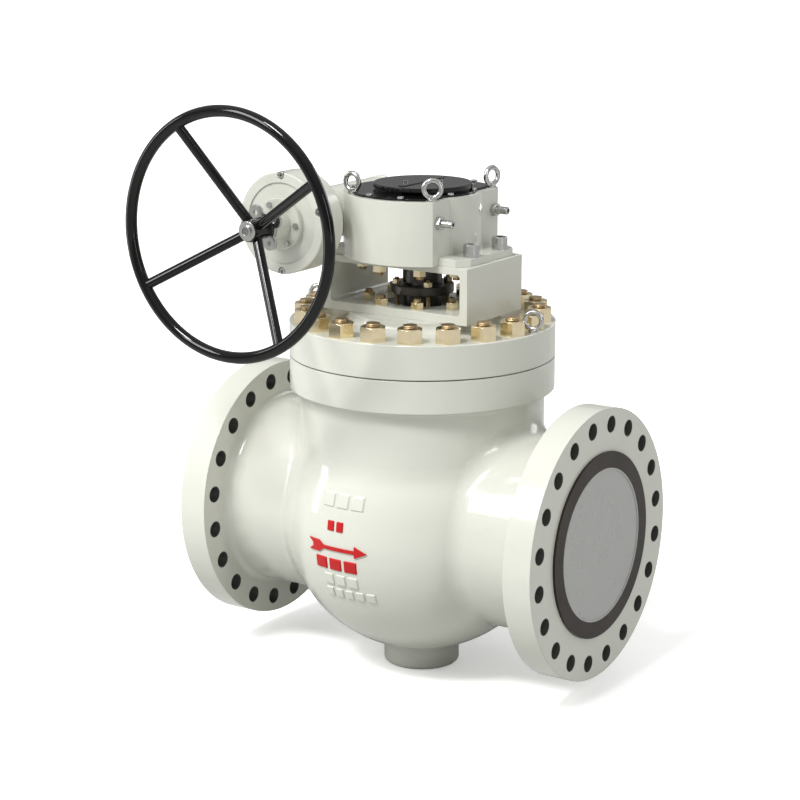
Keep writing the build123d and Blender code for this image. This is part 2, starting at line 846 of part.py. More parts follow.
with BuildPart() as packing_rings:
    for i in range(packing_count):
        with BuildSketch(Plane.XY.offset(chamber_bottom_z + i * packing_height + static_gap)):
            Circle(chamber_r - press)
            Circle(stem_r + running, mode=Mode.SUBTRACT)
        extrude(amount=packing_height - static_gap)

gland_bush_bottom_z = chamber_bottom_z + packing_count * packing_height + static_gap
gland_flange_z = yoke_z + gland_bush_show
gland_flange_top_z = gland_flange_z + gland_flange_thickness
with BuildPart() as gland_bush:
    with BuildSketch(Plane.XY.offset(gland_bush_bottom_z)):
        Circle(chamber_r - static_gap)
        Circle(stem_r + face_gap, mode=Mode.SUBTRACT)
    extrude(amount=gland_flange_z - gland_bush_bottom_z)

with BuildPart() as gland_flange:
    with BuildSketch(Plane.XY.offset(gland_flange_z)):
        Circle(gland_flange_r)
        Circle(stem_r + joint_gap, mode=Mode.SUBTRACT)
        with Locations(*gland_stud_points):
            Circle(gland_stud_d / 2 + face_gap, mode=Mode.SUBTRACT)
    extrude(amount=gland_flange_thickness)
    outer_rims = gland_flange.edges().filter_by(GeomType.CIRCLE).sort_by(SortBy.RADIUS)[-2:]
    chamfer(outer_rims, edge_chamfer)

gland_studs = rods(
    gland_stud_points,
    gland_stud_d / 2,
    gland_stud_bottom_z + 1,
    gland_flange_top_z + gland_nut_height + gland_stud_show,
    gland_stud_chamfer,
)
gland_nuts = hex_nuts(
    gland_stud_points,
    gland_nut_across,
    gland_nut_height,
    gland_stud_d / 2 + static_gap,
    gland_flange_top_z,
)

# ---------------------------------------------------------------- yoke
window_height = yoke_height - yoke_bottom_wall - yoke_top_wall
window_length = yoke_length - 2 * yoke_side_wall
window_mid_z = yoke_z + yoke_bottom_wall + window_height / 2
gearbox_stud_xy = mirrored_points(gearbox_stud_points)
cap_screw_xy = [(cap_screw_x, cap_screw_y), (cap_screw_x, -cap_screw_y)]
with BuildPart() as yoke:
    with BuildSketch(Plane.XY.offset(yoke_z)):
        Rectangle(yoke_length, yoke_depth)
    extrude(amount=yoke_height)
    fillet(yoke.edges().filter_by(Axis.Y), casting_edge_r)
    with BuildSketch(Plane.XZ.offset(-yoke_depth)):
        with Locations((0, window_mid_z)):
            RectangleRounded(window_length, window_height, yoke_corner_r)
    extrude(amount=2 * yoke_depth, mode=Mode.SUBTRACT)
    with BuildSketch(Plane.XY.offset(yoke_z)):
        Circle(yoke_hole_r)
        with Locations(*mirrored_points(yoke_stud_points)):
            Circle(yoke_stud_d / 2 + joint_gap)
    extrude(amount=yoke_bottom_wall, mode=Mode.SUBTRACT)
    with BuildSketch(Plane.XY.offset(yoke_top_z)):
        Circle(yoke_hole_r)
        with Locations(*gearbox_stud_xy):
            Circle(yoke_stud_d / 2 + joint_gap)
        with Locations(*cap_screw_xy):
            Circle(cap_screw_r + static_gap)
    extrude(amount=-yoke_top_wall, mode=Mode.SUBTRACT)

yoke_nut_z = yoke_z + yoke_bottom_wall
yoke_studs = rods(
    mirrored_points(yoke_stud_points),
    yoke_stud_d / 2,
    yoke_stud_bottom_z + 1,
    yoke_nut_z + yoke_nut_height + stud_show,
    yoke_stud_chamfer,
)
yoke_nuts = hex_nuts(
    mirrored_points(yoke_stud_points),
    yoke_nut_across,
    yoke_nut_height,
    yoke_stud_d / 2 + static_gap,
    yoke_nut_z,
)

# ---------------------------------------------------------------- gearbox housing
def input_plane(y):
    """The plane across the handwheel's axis at a distance along it, seen by the operator."""
    return Plane(origin=(worm_x, y, worm_z), x_dir=(1, 0, 0), z_dir=(0, -1, 0))


eyebolt_points = [(eye_x, eye_y), (eye_x, -eye_y), (-eye_x, -eye_y)]
cover_screw_circle = drum_r - drum_wall - cover_screw_head_r
hub_screw_circle = hub_drum_r - drum_wall - cover_screw_head_r


def circle_points(radius, angles):
    """Points at stated angles on a circle about the origin."""
    return [(radius * cos(radians(angle)), radius * sin(radians(angle))) for angle in angles]


cover_screw_points = circle_points(cover_screw_circle, cover_screw_angles)
cover_screw_points += circle_points(hub_screw_circle, hub_screw_angles)
reducer_screw_points = circle_points(reducer_r - reducer_wall / 2, reducer_screw_angles)
end_cap_screw_bc_r = tunnel_r - tunnel_wall / 2
end_cap_screw_points = ring_points(end_cap_screw_bc_r, end_cap_screws, first_end_cap_screw)
inner_boss_z = drum_top_z - inner_boss_depth
bearing_seat_r = worm_bearing_r + running
front_bearing_end_y = reducer_back_y - reducer_floor + worm_bearing_width + bearing_shoulder
stop_boss_x = drum_cut_x - 2 * drum_wall


def drum_plan(inset):
    """The drum seen from above: a big round cut flat for the stop screws, with a smaller round."""
    with BuildSketch() as plan:
        Circle(drum_r - inset)
        with Locations((drum_cut_x - inset, 0)):
            Rectangle(2 * drum_r, 3 * drum_r, align=(Align.MIN, Align.CENTER), mode=Mode.SUBTRACT)
        Circle(hub_drum_r - inset)
    return plan


with BuildPart() as gearbox_housing:
    with BuildSketch(Plane.XY.offset(yoke_top_z)) as plate:
        Rectangle(plate_length, plate_depth)
        chamfer(plate.vertices(), plate_corner)
    extrude(amount=plate_thickness)
    with BuildSketch(Plane.XY.offset(yoke_top_z)):
        add(drum_plan(0).sketch)
    extrude(amount=gearbox_height)
    with BuildSketch(input_plane(reducer_back_y)):
        Circle(tunnel_r)
    extrude(amount=reducer_back_y - tunnel_back_y)
    with BuildSketch(input_plane(reducer_back_y)):
        Circle(reducer_r)
    extrude(amount=reducer_back_y - reducer_front_y)
    with BuildSketch(Plane.XY.offset(plate_top_z)):
        add(drum_plan(drum_wall).sketch)
    extrude(amount=gearbox_height, mode=Mode.SUBTRACT)
    with BuildSketch(Plane.XY.offset(inner_boss_z)) as boss_plan:
        with Locations(*eyebolt_points):
            Circle(inner_boss_r)
        with Locations(*cover_screw_points):
            Circle(cover_screw_head_r + screw_boss_margin)
        add(drum_plan(0).sketch, mode=Mode.INTERSECT)
    extrude(amount=inner_boss_depth)
    with BuildSketch(input_plane(tunnel_back_y - bearing_screw_depth)):
        with Locations(*end_cap_screw_points):
            Circle(bearing_screw_r + static_gap)
    extrude(amount=-bearing_screw_depth, mode=Mode.SUBTRACT)
    with BuildSketch(Plane.YZ.offset(stop_boss_x)):
        with Locations((-stop_screw_y, stop_screw_z), (stop_screw_y, stop_screw_z)):
            Circle(inner_boss_r)
    extrude(amount=drum_cut_x - stop_boss_x)
    with BuildSketch(Plane.YZ.offset(stop_boss_x - 1)):
        with Locations((-stop_screw_y, stop_screw_z), (stop_screw_y, stop_screw_z)):
            Circle(stop_screw_d / 2 + running)
    extrude(amount=drum_cut_x - stop_boss_x + 2, mode=Mode.SUBTRACT)
    with BuildSketch(input_plane(front_bearing_end_y)):
        Circle(tunnel_bore_r)
    extrude(amount=front_bearing_end_y - tunnel_back_y, mode=Mode.SUBTRACT)
    with BuildSketch(input_plane(front_bearing_end_y)):
        Circle(bearing_seat_r)
    extrude(amount=front_bearing_end_y - reducer_front_y, mode=Mode.SUBTRACT)
    with BuildSketch(input_plane(reducer_back_y - reducer_floor)):
        Circle(reducer_r - reducer_wall)
    extrude(amount=reducer_back_y - reducer_floor - reducer_front_y, mode=Mode.SUBTRACT)
    with BuildSketch(input_plane(reducer_front_y)):
        with Locations(*reducer_screw_points):
            Circle(reducer_screw_r + static_gap)
    extrude(amount=-reducer_screw_depth, mode=Mode.SUBTRACT)
    with BuildSketch(Plane.XY.offset(yoke_top_z)):
        Circle(plate_hole_r)
        with Locations(*cap_screw_xy):
            Circle(cap_screw_r + static_gap)
    extrude(amount=plate_thickness, mode=Mode.SUBTRACT)
    with BuildSketch(Plane.XY.offset(yoke_top_z)):
        with Locations(*gearbox_stud_xy):
            Circle(yoke_stud_d / 2 + static_gap)
    extrude(amount=plate_thickness - plate_skin, mode=Mode.SUBTRACT)
    with BuildSketch(Plane.XY.offset(drum_top_z)):
        with Locations(*eyebolt_points):
            Circle(eyebolt_shank_r + static_gap)
        with Locations(*cover_screw_points):
            Circle(cover_screw_r + static_gap)
    extrude(amount=1 - inner_boss_depth, mode=Mode.SUBTRACT)

gearbox_studs = rods(
    gearbox_stud_xy,
    yoke_stud_d / 2,
    yoke_top_z - yoke_top_wall - yoke_nut_height - stud_show,
    plate_top_z - plate_skin - joint_gap,
    yoke_stud_chamfer,
)
gearbox_nuts = hex_nuts(
    gearbox_stud_xy,
    yoke_nut_across,
    yoke_nut_height,
    yoke_stud_d / 2 + static_gap,
    yoke_top_z - yoke_top_wall - yoke_nut_height,
)
with BuildPart() as gearbox_cap_screws:
    with BuildSketch(Plane.XY.offset(plate_top_z)):
        with Locations(*cap_screw_xy):
            Circle(cap_screw_head_d / 2)
    extrude(amount=cap_screw_head_height)
    top_rims = gearbox_cap_screws.edges().group_by(Axis.Z)[-1]
    chamfer(top_rims, edge_chamfer)
    with BuildSketch(Plane.XY.offset(plate_top_z + cap_screw_head_height)):
        with Locations(*cap_screw_xy):
            RegularPolygon(cap_screw_socket_r, 6)
    extrude(amount=-cap_screw_head_height / 2, mode=Mode.SUBTRACT)
    with BuildSketch(Plane.XY.offset(plate_top_z)):
        with Locations(*cap_screw_xy):
            Circle(cap_screw_r)
    extrude(amount=1 - plate_thickness - yoke_top_wall)

gearbox_eyebolts = eyebolts(
    [
        (eye_x, eye_y, gearbox_eye_facing[0]),
        (eye_x, -eye_y, gearbox_eye_facing[1]),
        (-eye_x, -eye_y, gearbox_eye_facing[2]),
    ],
    drum_top_z,
)

# ---------------------------------------------------------------- gearbox cover and indicator
cover_top_z = drum_top_z + cover_thickness
with BuildPart() as gearbox_cover:
    with BuildSketch(Plane.XY.offset(drum_top_z)):
        add(drum_plan(cover_inset).sketch)
        Circle(indicator_hub_r + cover_hole_gap, mode=Mode.SUBTRACT)
        with Locations(*eyebolt_points):
            Circle(inner_boss_r - joint_gap, mode=Mode.SUBTRACT)
        with Locations(*cover_screw_points):
            Circle(cover_screw_r + face_gap, mode=Mode.SUBTRACT)
    extrude(amount=cover_thickness)

with BuildPart() as gearbox_cover_screws:
    with BuildSketch(Plane.XY.offset(cover_top_z)):
        with Locations(*cover_screw_points):
            Circle(cover_screw_head_r)
    extrude(amount=cover_screw_head_height)
    chamfer(gearbox_cover_screws.edges().group_by(Axis.Z)[-1], screw_chamfer)
    with BuildSketch(Plane.XY.offset(cover_top_z + cover_screw_head_height)):
        with Locations(*cover_screw_points):
            RegularPolygon(cover_screw_r, 6)
    extrude(amount=-cover_screw_head_height / 2, mode=Mode.SUBTRACT)
    with BuildSketch(Plane.XY.offset(cover_top_z)):
        with Locations(*cover_screw_points):
            Circle(cover_screw_r)
    extrude(amount=-cover_thickness - inner_boss_depth / 2)

wheel_hub_bottom_z = plate_top_z + joint_gap
indicator_z = cover_top_z + cover_screw_head_height + joint_gap
indicator_top_z = indicator_z + indicator_height
indicator_screw_points = ring_points(
    indicator_screw_bc_r, indicator_screws_count, first_indicator_screw
)
with BuildPart() as position_indicator:
    with BuildSketch(Plane.XY.offset(wheel_hub_top_z)):
        Circle(indicator_hub_r)
    extrude(amount=indicator_z - wheel_hub_top_z)
    with BuildSketch(Plane.XY.offset(indicator_z)):
        Circle(indicator_r)
    extrude(amount=indicator_height)
    chamfer(position_indicator.edges().group_by(Axis.Z)[-1], edge_chamfer)
    with BuildSketch(Plane.XY.offset(indicator_top_z)):
        with BuildLine():
            Polyline(
                (-pointer_width / 2, -pointer_tail),
                (pointer_width / 2, -pointer_tail),
                (pointer_width / 2, pointer_neck),
                (pointer_width, pointer_neck),
                (0, pointer_tip),
                (-pointer_width, pointer_neck),
                (-pointer_width / 2, pointer_neck),
                close=True,
            )
        make_face()
    extrude(amount=pointer_height)
    with BuildSketch(Plane.XY.offset(wheel_hub_top_z)):
        with Locations(*indicator_screw_points):
            Circle(indicator_screw_r + static_gap)
    extrude(amount=indicator_top_z + pointer_height - wheel_hub_top_z, mode=Mode.SUBTRACT)

with BuildPart() as indicator_screws:
    with BuildSketch(Plane.XY.offset(wheel_hub_top_z - indicator_screw_depth)):
        with Locations(*indicator_screw_points):
            Circle(indicator_screw_r)
    extrude(amount=indicator_top_z - wheel_hub_top_z + indicator_screw_depth)
    with BuildSketch(Plane.XY.offset(indicator_top_z)):
        with Locations(*indicator_screw_points):
            Circle(indicator_screw_head_r)
    extrude(amount=indicator_screw_r)

# ---------------------------------------------------------------- stop screws
sector_half = half_turn / worm_ratio * wheel_teeth
sector_mid = half_turn - quarter_turn / 2
stop_angle = sector_mid - sector_half
stop_tip_x = (stop_screw_y + stop_screw_d / 2) / tan(radians(stop_angle)) + stop_gap
stop_end_x = drum_cut_x + stop_screw_show
with BuildPart() as stop_screws:
    for y in (-stop_screw_y, stop_screw_y):
        with BuildSketch(Plane.YZ.offset(stop_tip_x)):
            with Locations((y, stop_screw_z)):
                Circle(stop_screw_d / 2)
        extrude(amount=stop_end_x - stop_tip_x)
    chamfer(stop_screws.edges().filter_by(GeomType.CIRCLE), stop_screw_chamfer)
    for y in (-stop_screw_y, stop_screw_y):
        with BuildSketch(Plane.YZ.offset(stop_end_x)):
            with Locations((y, stop_screw_z)):
                RegularPolygon(stop_socket_r, 6)
        extrude(amount=-stop_socket_depth, mode=Mode.SUBTRACT)

with BuildPart() as stop_locknuts:
    for y in (-stop_screw_y, stop_screw_y):
        with BuildSketch(Plane.YZ.offset(drum_cut_x)):
            with Locations((y, stop_screw_z)):
                RegularPolygon(stop_nut_across / 2, 6, major_radius=False)
                Circle(stop_screw_d / 2 + static_gap, mode=Mode.SUBTRACT)
        extrude(amount=stop_nut_height)

# ---------------------------------------------------------------- worm wheel sector and worm
def tooth_points(angle, root, tip, root_half, tip_half):
    """The four corners of a straight-sided tooth about a radial line, angles in radians."""
    return [
        (root * cos(angle - root_half), root * sin(angle - root_half)),
        (tip * cos(angle - tip_half), tip * sin(angle - tip_half)),
        (tip * cos(angle + tip_half), tip * sin(angle + tip_half)),
        (root * cos(angle + root_half), root * sin(angle + root_half)),
    ]


wheel_root_r = wheel_pitch_r - worm_dedendum
wheel_tip_r = wheel_pitch_r + worm_addendum
worm_root_r = worm_pitch_r - worm_dedendum
worm_tip_r = worm_pitch_r + worm_addendum
tooth_half = worm_tooth_share * worm_pitch / 2
slope = tan(radians(thread_slope))
with BuildPart() as worm_wheel:
    with BuildSketch(Plane.XY.offset(worm_z - wheel_width / 2)) as sector:
        outline = [(0.0, 0.0)]
        for i in range(wheel_teeth):
            middle = radians(sector_mid + full_turn / worm_ratio * (i - (wheel_teeth - 1) / 2))
            half_at_root = (tooth_half + worm_dedendum * slope) / wheel_root_r
            half_at_tip = (tooth_half - worm_addendum * slope) / wheel_tip_r
            outline += tooth_points(middle, wheel_root_r, wheel_tip_r, half_at_root, half_at_tip)
        with BuildLine():
            Polyline(*outline, close=True)
        make_face()
        Circle(wheel_hub_r)
    extrude(amount=wheel_width)
    with BuildSketch(Plane.XY.offset(wheel_hub_bottom_z)):
        Circle(wheel_hub_r)
    extrude(amount=wheel_hub_top_z - wheel_hub_bottom_z)
    with BuildSketch(Plane.XY.offset(wheel_hub_bottom_z)):
        Circle(stem_r + press)
        with Locations((stem_r, 0)):
            Rectangle(key_width, key_width)
    extrude(amount=wheel_hub_top_z - wheel_hub_bottom_z, mode=Mode.SUBTRACT)
    with BuildSketch(Plane.XY.offset(wheel_hub_top_z)):
        with Locations(*indicator_screw_points):
            Circle(indicator_screw_r + static_gap)
    extrude(amount=-indicator_screw_depth - joint_gap, mode=Mode.SUBTRACT)

with BuildPart() as stem_sleeve:
    with BuildSketch(Plane.XY.offset(gland_flange_top_z + collar_gap / 2)):
        Circle(sleeve_r)
        Circle(stem_r + press, mode=Mode.SUBTRACT)
    extrude(amount=yoke_top_z + plate_thickness / 2 - gland_flange_top_z)

# A left-hand thread that leaves the top starts three quarters of a turn before it faces the wheel
thread_back_y = -worm_pitch * (worm_turns // 2 + 0.75)
worm_shaft_back_y = tunnel_back_y - worm_end_gap
worm_shaft_front_y = reducer_back_y - reducer_floor - joint_gap
carrier_back_y = worm_shaft_front_y - joint_gap
carrier_front_y = carrier_back_y - carrier_thickness
gears_back_y = carrier_front_y - joint_gap * 2
gears_front_y = gears_back_y - gear_width
with BuildPart() as worm_shaft:
    with BuildLine():
        thread_path = Helix(
            worm_pitch,
            worm_turns * worm_pitch,
            worm_pitch_r,
            center=(worm_x, thread_back_y, worm_z),
            direction=(0, 1, 0),
            lefthand=True,
        )
    thread_start = Plane(
        origin=thread_path @ 0,
        x_dir=(0, 0, 1),
        z_dir=thread_path % 0,
    )
    with BuildSketch(thread_start):
        with BuildLine():
            Polyline(
                (-worm_dedendum - 1, tooth_half + (worm_dedendum + 1) * slope),
                (worm_addendum, tooth_half - worm_addendum * slope),
                (worm_addendum, -tooth_half + worm_addendum * slope),
                (-worm_dedendum - 1, -tooth_half - (worm_dedendum + 1) * slope),
                close=True,
            )
        make_face()
    sweep(path=thread_path, is_frenet=True)
    with BuildSketch(input_plane(thread_back_y - worm_pitch / 2)):
        Circle(worm_root_r)
    extrude(amount=-(worm_turns + 1) * worm_pitch)
    with BuildSketch(input_plane(worm_shaft_front_y)):
        Circle(worm_shaft_r)
    extrude(amount=worm_shaft_front_y - worm_shaft_back_y)
    with BuildSketch(input_plane(worm_shaft_front_y)):
        Circle(carrier_spigot_r)
    extrude(amount=worm_shaft_front_y - carrier_front_y)

with BuildPart() as worm_bearings:
    for y in (front_bearing_end_y, tunnel_back_y - joint_gap):
        with BuildSketch(input_plane(y)):
            Circle(worm_bearing_r - running)
            Circle(worm_shaft_r + running, mode=Mode.SUBTRACT)
        extrude(amount=worm_bearing_width)

with BuildPart() as bearing_end_cap:
    with BuildSketch(input_plane(tunnel_back_y)):
        Circle(end_cap_r)
    extrude(amount=-end_cap_thickness)
    chamfer(bearing_end_cap.edges().sort_by(Axis.Y)[-1], edge_chamfer)
    with BuildSketch(input_plane(tunnel_back_y)):
        Circle(tunnel_bore_r - static_gap)
        Circle(bearing_seat_r, mode=Mode.SUBTRACT)
    extrude(amount=worm_bearing_width + bearing_shoulder)
    with BuildSketch(input_plane(tunnel_back_y + end_cap_thickness)):
        with Locations(*end_cap_screw_points):
            Circle(bearing_screw_r + static_gap)
    extrude(amount=end_cap_thickness, mode=Mode.SUBTRACT)

# ---------------------------------------------------------------- planetary reduction
gear_addendum = addendum_factor * gear_module
gear_dedendum = dedendum_factor * gear_module
gear_tooth_half = (pi * gear_module / 2 - tooth_play) / 2


def gear_outline(teeth, pitch_r, first_angle, outward=1):
    """All corner points of a straight-sided gear; outward is -1 for a ring with inner teeth."""
    root = pitch_r - outward * gear_dedendum
    tip = pitch_r + outward * gear_addendum
    root_half = (gear_tooth_half + gear_dedendum * slope) / root
    tip_half = (gear_tooth_half - gear_addendum * slope) / tip
    points = []
    for i in range(teeth):
        middle = radians(first_angle + full_turn * i / teeth)
        points += tooth_points(middle, root, tip, root_half, tip_half)
    return points


def planet_angle(i):
    """Where a planet stands round the input axis."""
    return quarter_turn + full_turn * i / planet_count


def planet_place(i):
    """A planet's centre in the plane across the input axis."""
    angle = radians(planet_angle(i))
    return planet_orbit_r * cos(angle), planet_orbit_r * sin(angle)


with BuildPart() as ring_gear:
    with BuildSketch(input_plane(gears_back_y)):
        Circle(reducer_r - reducer_wall - static_gap)
        with BuildLine():
            Polyline(
                *gear_outline(ring_teeth, ring_pitch_r, planet_angle(0) + half_turn / ring_teeth, -1),
                close=True,
            )
        make_face(mode=Mode.SUBTRACT)
    extrude(amount=gear_width)

with BuildPart() as sun_shaft:
    with BuildSketch(input_plane(gears_back_y)):
        with BuildLine():
            Polyline(*gear_outline(sun_teeth, sun_pitch_r, planet_angle(0)), close=True)
        make_face()
    extrude(amount=gear_width)
    with BuildSketch(input_plane(gears_front_y)):
        Circle(input_shaft_r)
    extrude(amount=gears_front_y - handwheel_hub_front_y)
    with BuildSketch(input_plane(handwheel_hub_front_y)):
        Circle(shaft_thread_r)
    extrude(amount=shaft_thread_length)

with BuildPart() as planet_carrier:
    with BuildSketch(input_plane(carrier_back_y)):
        Circle(carrier_r)
        Circle(carrier_spigot_r + press, mode=Mode.SUBTRACT)
    extrude(amount=carrier_thickness)
    with BuildSketch(input_plane(carrier_front_y)):
        with Locations(*[planet_place(i) for i in range(planet_count)]):
            Circle(planet_pin_r)
    extrude(amount=gear_width + joint_gap * 4)


def planet_gear(i):
    """A planet, with a tooth gap facing the sun and a tooth facing the ring."""
    x, z = planet_place(i)
    with BuildPart() as planet:
        centre = (worm_x + x, gears_back_y, worm_z + z)
        with BuildSketch(Plane(origin=centre, x_dir=(1, 0, 0), z_dir=(0, -1, 0))):
            with BuildLine():
                Polyline(*gear_outline(planet_teeth, planet_pitch_r, planet_angle(i)), close=True)
            make_face()
            Circle(planet_pin_r + running, mode=Mode.SUBTRACT)
        extrude(amount=gear_width)
    return planet


planets = [planet_gear(i) for i in range(planet_count)]

# ---------------------------------------------------------------- reducer cover and input bearing
cover_front_y = reducer_front_y - reducer_cover_thickness
bearing_flange_y = cover_front_y + reducer_recess
bearing_neck_y = bearing_flange_y - bearing_flange_thickness
bearing_front_y = bearing_neck_y - bearing_neck_length
bearing_screw_points = ring_points(bearing_screw_bc_r, bearing_screws_count)
with BuildPart() as reducer_cover:
    with BuildSketch(input_plane(reducer_front_y)):
        Circle(reducer_r)
    extrude(amount=reducer_cover_thickness)
    chamfer(reducer_cover.edges().sort_by(Axis.Y)[0], edge_chamfer)
    with BuildSketch(input_plane(cover_front_y)):
        Circle(reducer_recess_r)
        with Locations(*reducer_screw_points):
            Circle(reducer_screw_head_r + reducer_screw_pocket_gap)
    extrude(amount=-reducer_recess, mode=Mode.SUBTRACT)
    with BuildSketch(input_plane(cover_front_y)):
        with Locations(*reducer_screw_points):
            Circle(reducer_screw_head_r + reducer_screw_pocket_gap)
    extrude(amount=-reducer_screw_head_height, mode=Mode.SUBTRACT)
    with BuildSketch(input_plane(cover_front_y)):
        Circle(input_shaft_r + joint_gap * 2)
        with Locations(*reducer_screw_points):
            Circle(reducer_screw_r + static_gap)
        with Locations(*bearing_screw_points):
            Circle(bearing_screw_r + static_gap)
    extrude(amount=-reducer_cover_thickness, mode=Mode.SUBTRACT)

with BuildPart() as reducer_cover_screws:
    with BuildSketch(input_plane(cover_front_y + reducer_screw_head_height)):
        with Locations(*reducer_screw_points):
            Circle(reducer_screw_head_r)
    extrude(amount=reducer_screw_head_height - 1)
    chamfer(reducer_cover_screws.edges().group_by(Axis.Y)[0], screw_chamfer)
    with BuildSketch(input_plane(cover_front_y + 1)):
        with Locations(*reducer_screw_points):
            RegularPolygon(reducer_screw_r, 6)
    extrude(amount=-reducer_screw_head_height / 2, mode=Mode.SUBTRACT)
    with BuildSketch(input_plane(cover_front_y + reducer_screw_head_height)):
        with Locations(*reducer_screw_points):
            Circle(reducer_screw_r)
    extrude(amount=-reducer_screw_depth)

with BuildPart() as input_bearing_housing:
    with BuildSketch(input_plane(bearing_flange_y)):
        Circle(bearing_flange_r)
    extrude(amount=bearing_flange_thickness)
    chamfer(input_bearing_housing.edges().sort_by(Axis.Y)[0], edge_chamfer)
    with BuildSketch(input_plane(bearing_neck_y)):
        Circle(bearing_neck_r)
    extrude(amount=bearing_neck_length)
    chamfer(input_bearing_housing.edges().sort_by(Axis.Y)[0], screw_chamfer)
    with BuildSketch(input_plane(bearing_flange_y)):
        Circle(input_shaft_r + running)
        with Locations(*bearing_screw_points):
            Circle(bearing_screw_r + static_gap)
    extrude(amount=bearing_flange_thickness + bearing_neck_length, mode=Mode.SUBTRACT)

with BuildPart() as bearing_screws:
    for y, out, points in (
        (bearing_neck_y, 1, bearing_screw_points),
        (tunnel_back_y + end_cap_thickness, -1, end_cap_screw_points),
    ):
        with BuildSketch(input_plane(y)):
            with Locations(*points):
                RegularPolygon(bearing_screw_across / 2, 6, major_radius=False)
        extrude(amount=out * bearing_screw_head)
        with BuildSketch(input_plane(y)):
            with Locations(*points):
                Circle(bearing_screw_r)
        extrude(amount=-out * bearing_screw_length)

# ---------------------------------------------------------------- handwheel
lobe_points = ring_points(lobe_plate_r - lobe_r, spoke_count, first_spoke_angle)
with BuildPart() as lobe_plate:
    with BuildSketch(input_plane(lobe_plate_y)):
        Circle(lobe_centre_r)
        with Locations(*lobe_points):
            Circle(lobe_r)
        for i in range(spoke_count):
            with Locations((0, 0)):
                Rectangle(
                    lobe_plate_r - lobe_r,
                    lobe_arm_width,
                    rotation=first_spoke_angle + full_turn * i / spoke_count,
                    align=(Align.MIN, Align.CENTER),
                )
        Circle(input_shaft_r + press, mode=Mode.SUBTRACT)
        with Locations(*lobe_points):
            Circle(lobe_hole_r, mode=Mode.SUBTRACT)
    extrude(amount=lobe_thickness)
hub_back_y = lobe_plate_y - lobe_thickness - static_gap
spoke_start_y = (hub_back_y + handwheel_hub_front_y) / 2
with BuildPart() as handwheel:
    with BuildSketch(input_plane(hub_back_y)):
        Circle(handwheel_hub_r)
    extrude(amount=hub_back_y - handwheel_hub_front_y)
    for x, z in ring_points(1.0, spoke_count, first_spoke_angle):
        foot = Vector(worm_x, spoke_start_y, worm_z)
        tip = Vector(worm_x + handwheel_r * x, handwheel_rim_y, worm_z + handwheel_r * z)
        with BuildSketch(Plane(origin=foot, z_dir=tip - foot)):
            Circle(spoke_r)
        extrude(amount=(tip - foot).length)
    with Locations(Location((worm_x, handwheel_rim_y, worm_z), (90, 0, 0))):
        Torus(handwheel_r, handwheel_rim_r)
    with BuildSketch(input_plane(hub_back_y)):
        Circle(input_shaft_r + press)
    extrude(amount=hub_back_y - handwheel_hub_front_y + spoke_r, mode=Mode.SUBTRACT)

with BuildPart() as handwheel_nut:
    with BuildSketch(input_plane(handwheel_hub_front_y)):
        Circle(washer_r)
        Circle(shaft_thread_r + static_gap, mode=Mode.SUBTRACT)
    extrude(amount=nut_washer_thickness)
    washer_rims = handwheel_nut.edges().filter_by(GeomType.CIRCLE).sort_by(SortBy.RADIUS)[-2:]
    chamfer(washer_rims.sort_by(Axis.Y)[0], screw_chamfer)
    with BuildSketch(input_plane(handwheel_hub_front_y - nut_washer_thickness)):
        Circle(wheel_nut_r)
        Circle(shaft_thread_r + static_gap, mode=Mode.SUBTRACT)
    extrude(amount=nut_washer_thickness)

# ---------------------------------------------------------------- shipping covers and flow arrow
def shipping_cover(side):
    """A shallow cup pushed into a flange's bore, its face just below the raised face."""
    outer = bore_r - static_gap
    with BuildPart() as cover:
        with BuildSketch(Plane.XZ):
            with BuildLine():
                Polyline(
                    (side * (face_x - cover_lip), pipe_z),
                    (side * (face_x - cover_lip), pipe_z + outer - cover_cap_wall),
                    (side * face_x, pipe_z + outer - cover_cap_wall),
                    (side * face_x, pipe_z + outer),
                    (side * (face_x - cover_cap_depth), pipe_z + outer),
                    (side * (face_x - cover_cap_depth), pipe_z + outer - cover_cap_wall),
                    (side * (face_x - cover_lip - cover_cap_wall), pipe_z + outer - cover_cap_wall),
                    (side * (face_x - cover_lip - cover_cap_wall), pipe_z),
                    close=True,
                )
            make_face()
        revolve(axis=Axis((0, 0, pipe_z), (1, 0, 0)))
    return cover


shipping_cover_inlet = shipping_cover(-1)
shipping_cover_outlet = shipping_cover(1)

with BuildPart() as flow_arrow:
    with BuildSketch(Plane.XZ.offset(bulb_r - arrow_depth)):
        with BuildLine():
            Polyline(
                (arrow_x, arrow_z + arrow_shaft / 2),
                (arrow_x - arrow_barb_back, arrow_z + arrow_head / 2),
                (arrow_x + arrow_barb_front, arrow_z + arrow_head / 2),
                (arrow_x + arrow_tail, arrow_z + arrow_shaft / 2),
                (arrow_x + arrow_length - arrow_point, arrow_z + arrow_shaft / 2),
                (arrow_x + arrow_length - arrow_point, arrow_z + arrow_head / 2),
                (arrow_x + arrow_length, arrow_z),
                (arrow_x + arrow_length - arrow_point, arrow_z - arrow_head / 2),
                (arrow_x + arrow_length - arrow_point, arrow_z - arrow_shaft / 2),
                (arrow_x + arrow_tail, arrow_z - arrow_shaft / 2),
                (arrow_x + arrow_barb_front, arrow_z - arrow_head / 2),
                (arrow_x - arrow_barb_back, arrow_z - arrow_head / 2),
                (arrow_x, arrow_z - arrow_shaft / 2),
                close=True,
            )
        make_face()
    extrude(amount=arrow_depth + 2 * arrow_raise)
    with Locations((0, 0, pipe_z)):
        Sphere(bulb_r + arrow_raise, mode=Mode.INTERSECT)
        Sphere(bulb_r + press, mode=Mode.SUBTRACT)

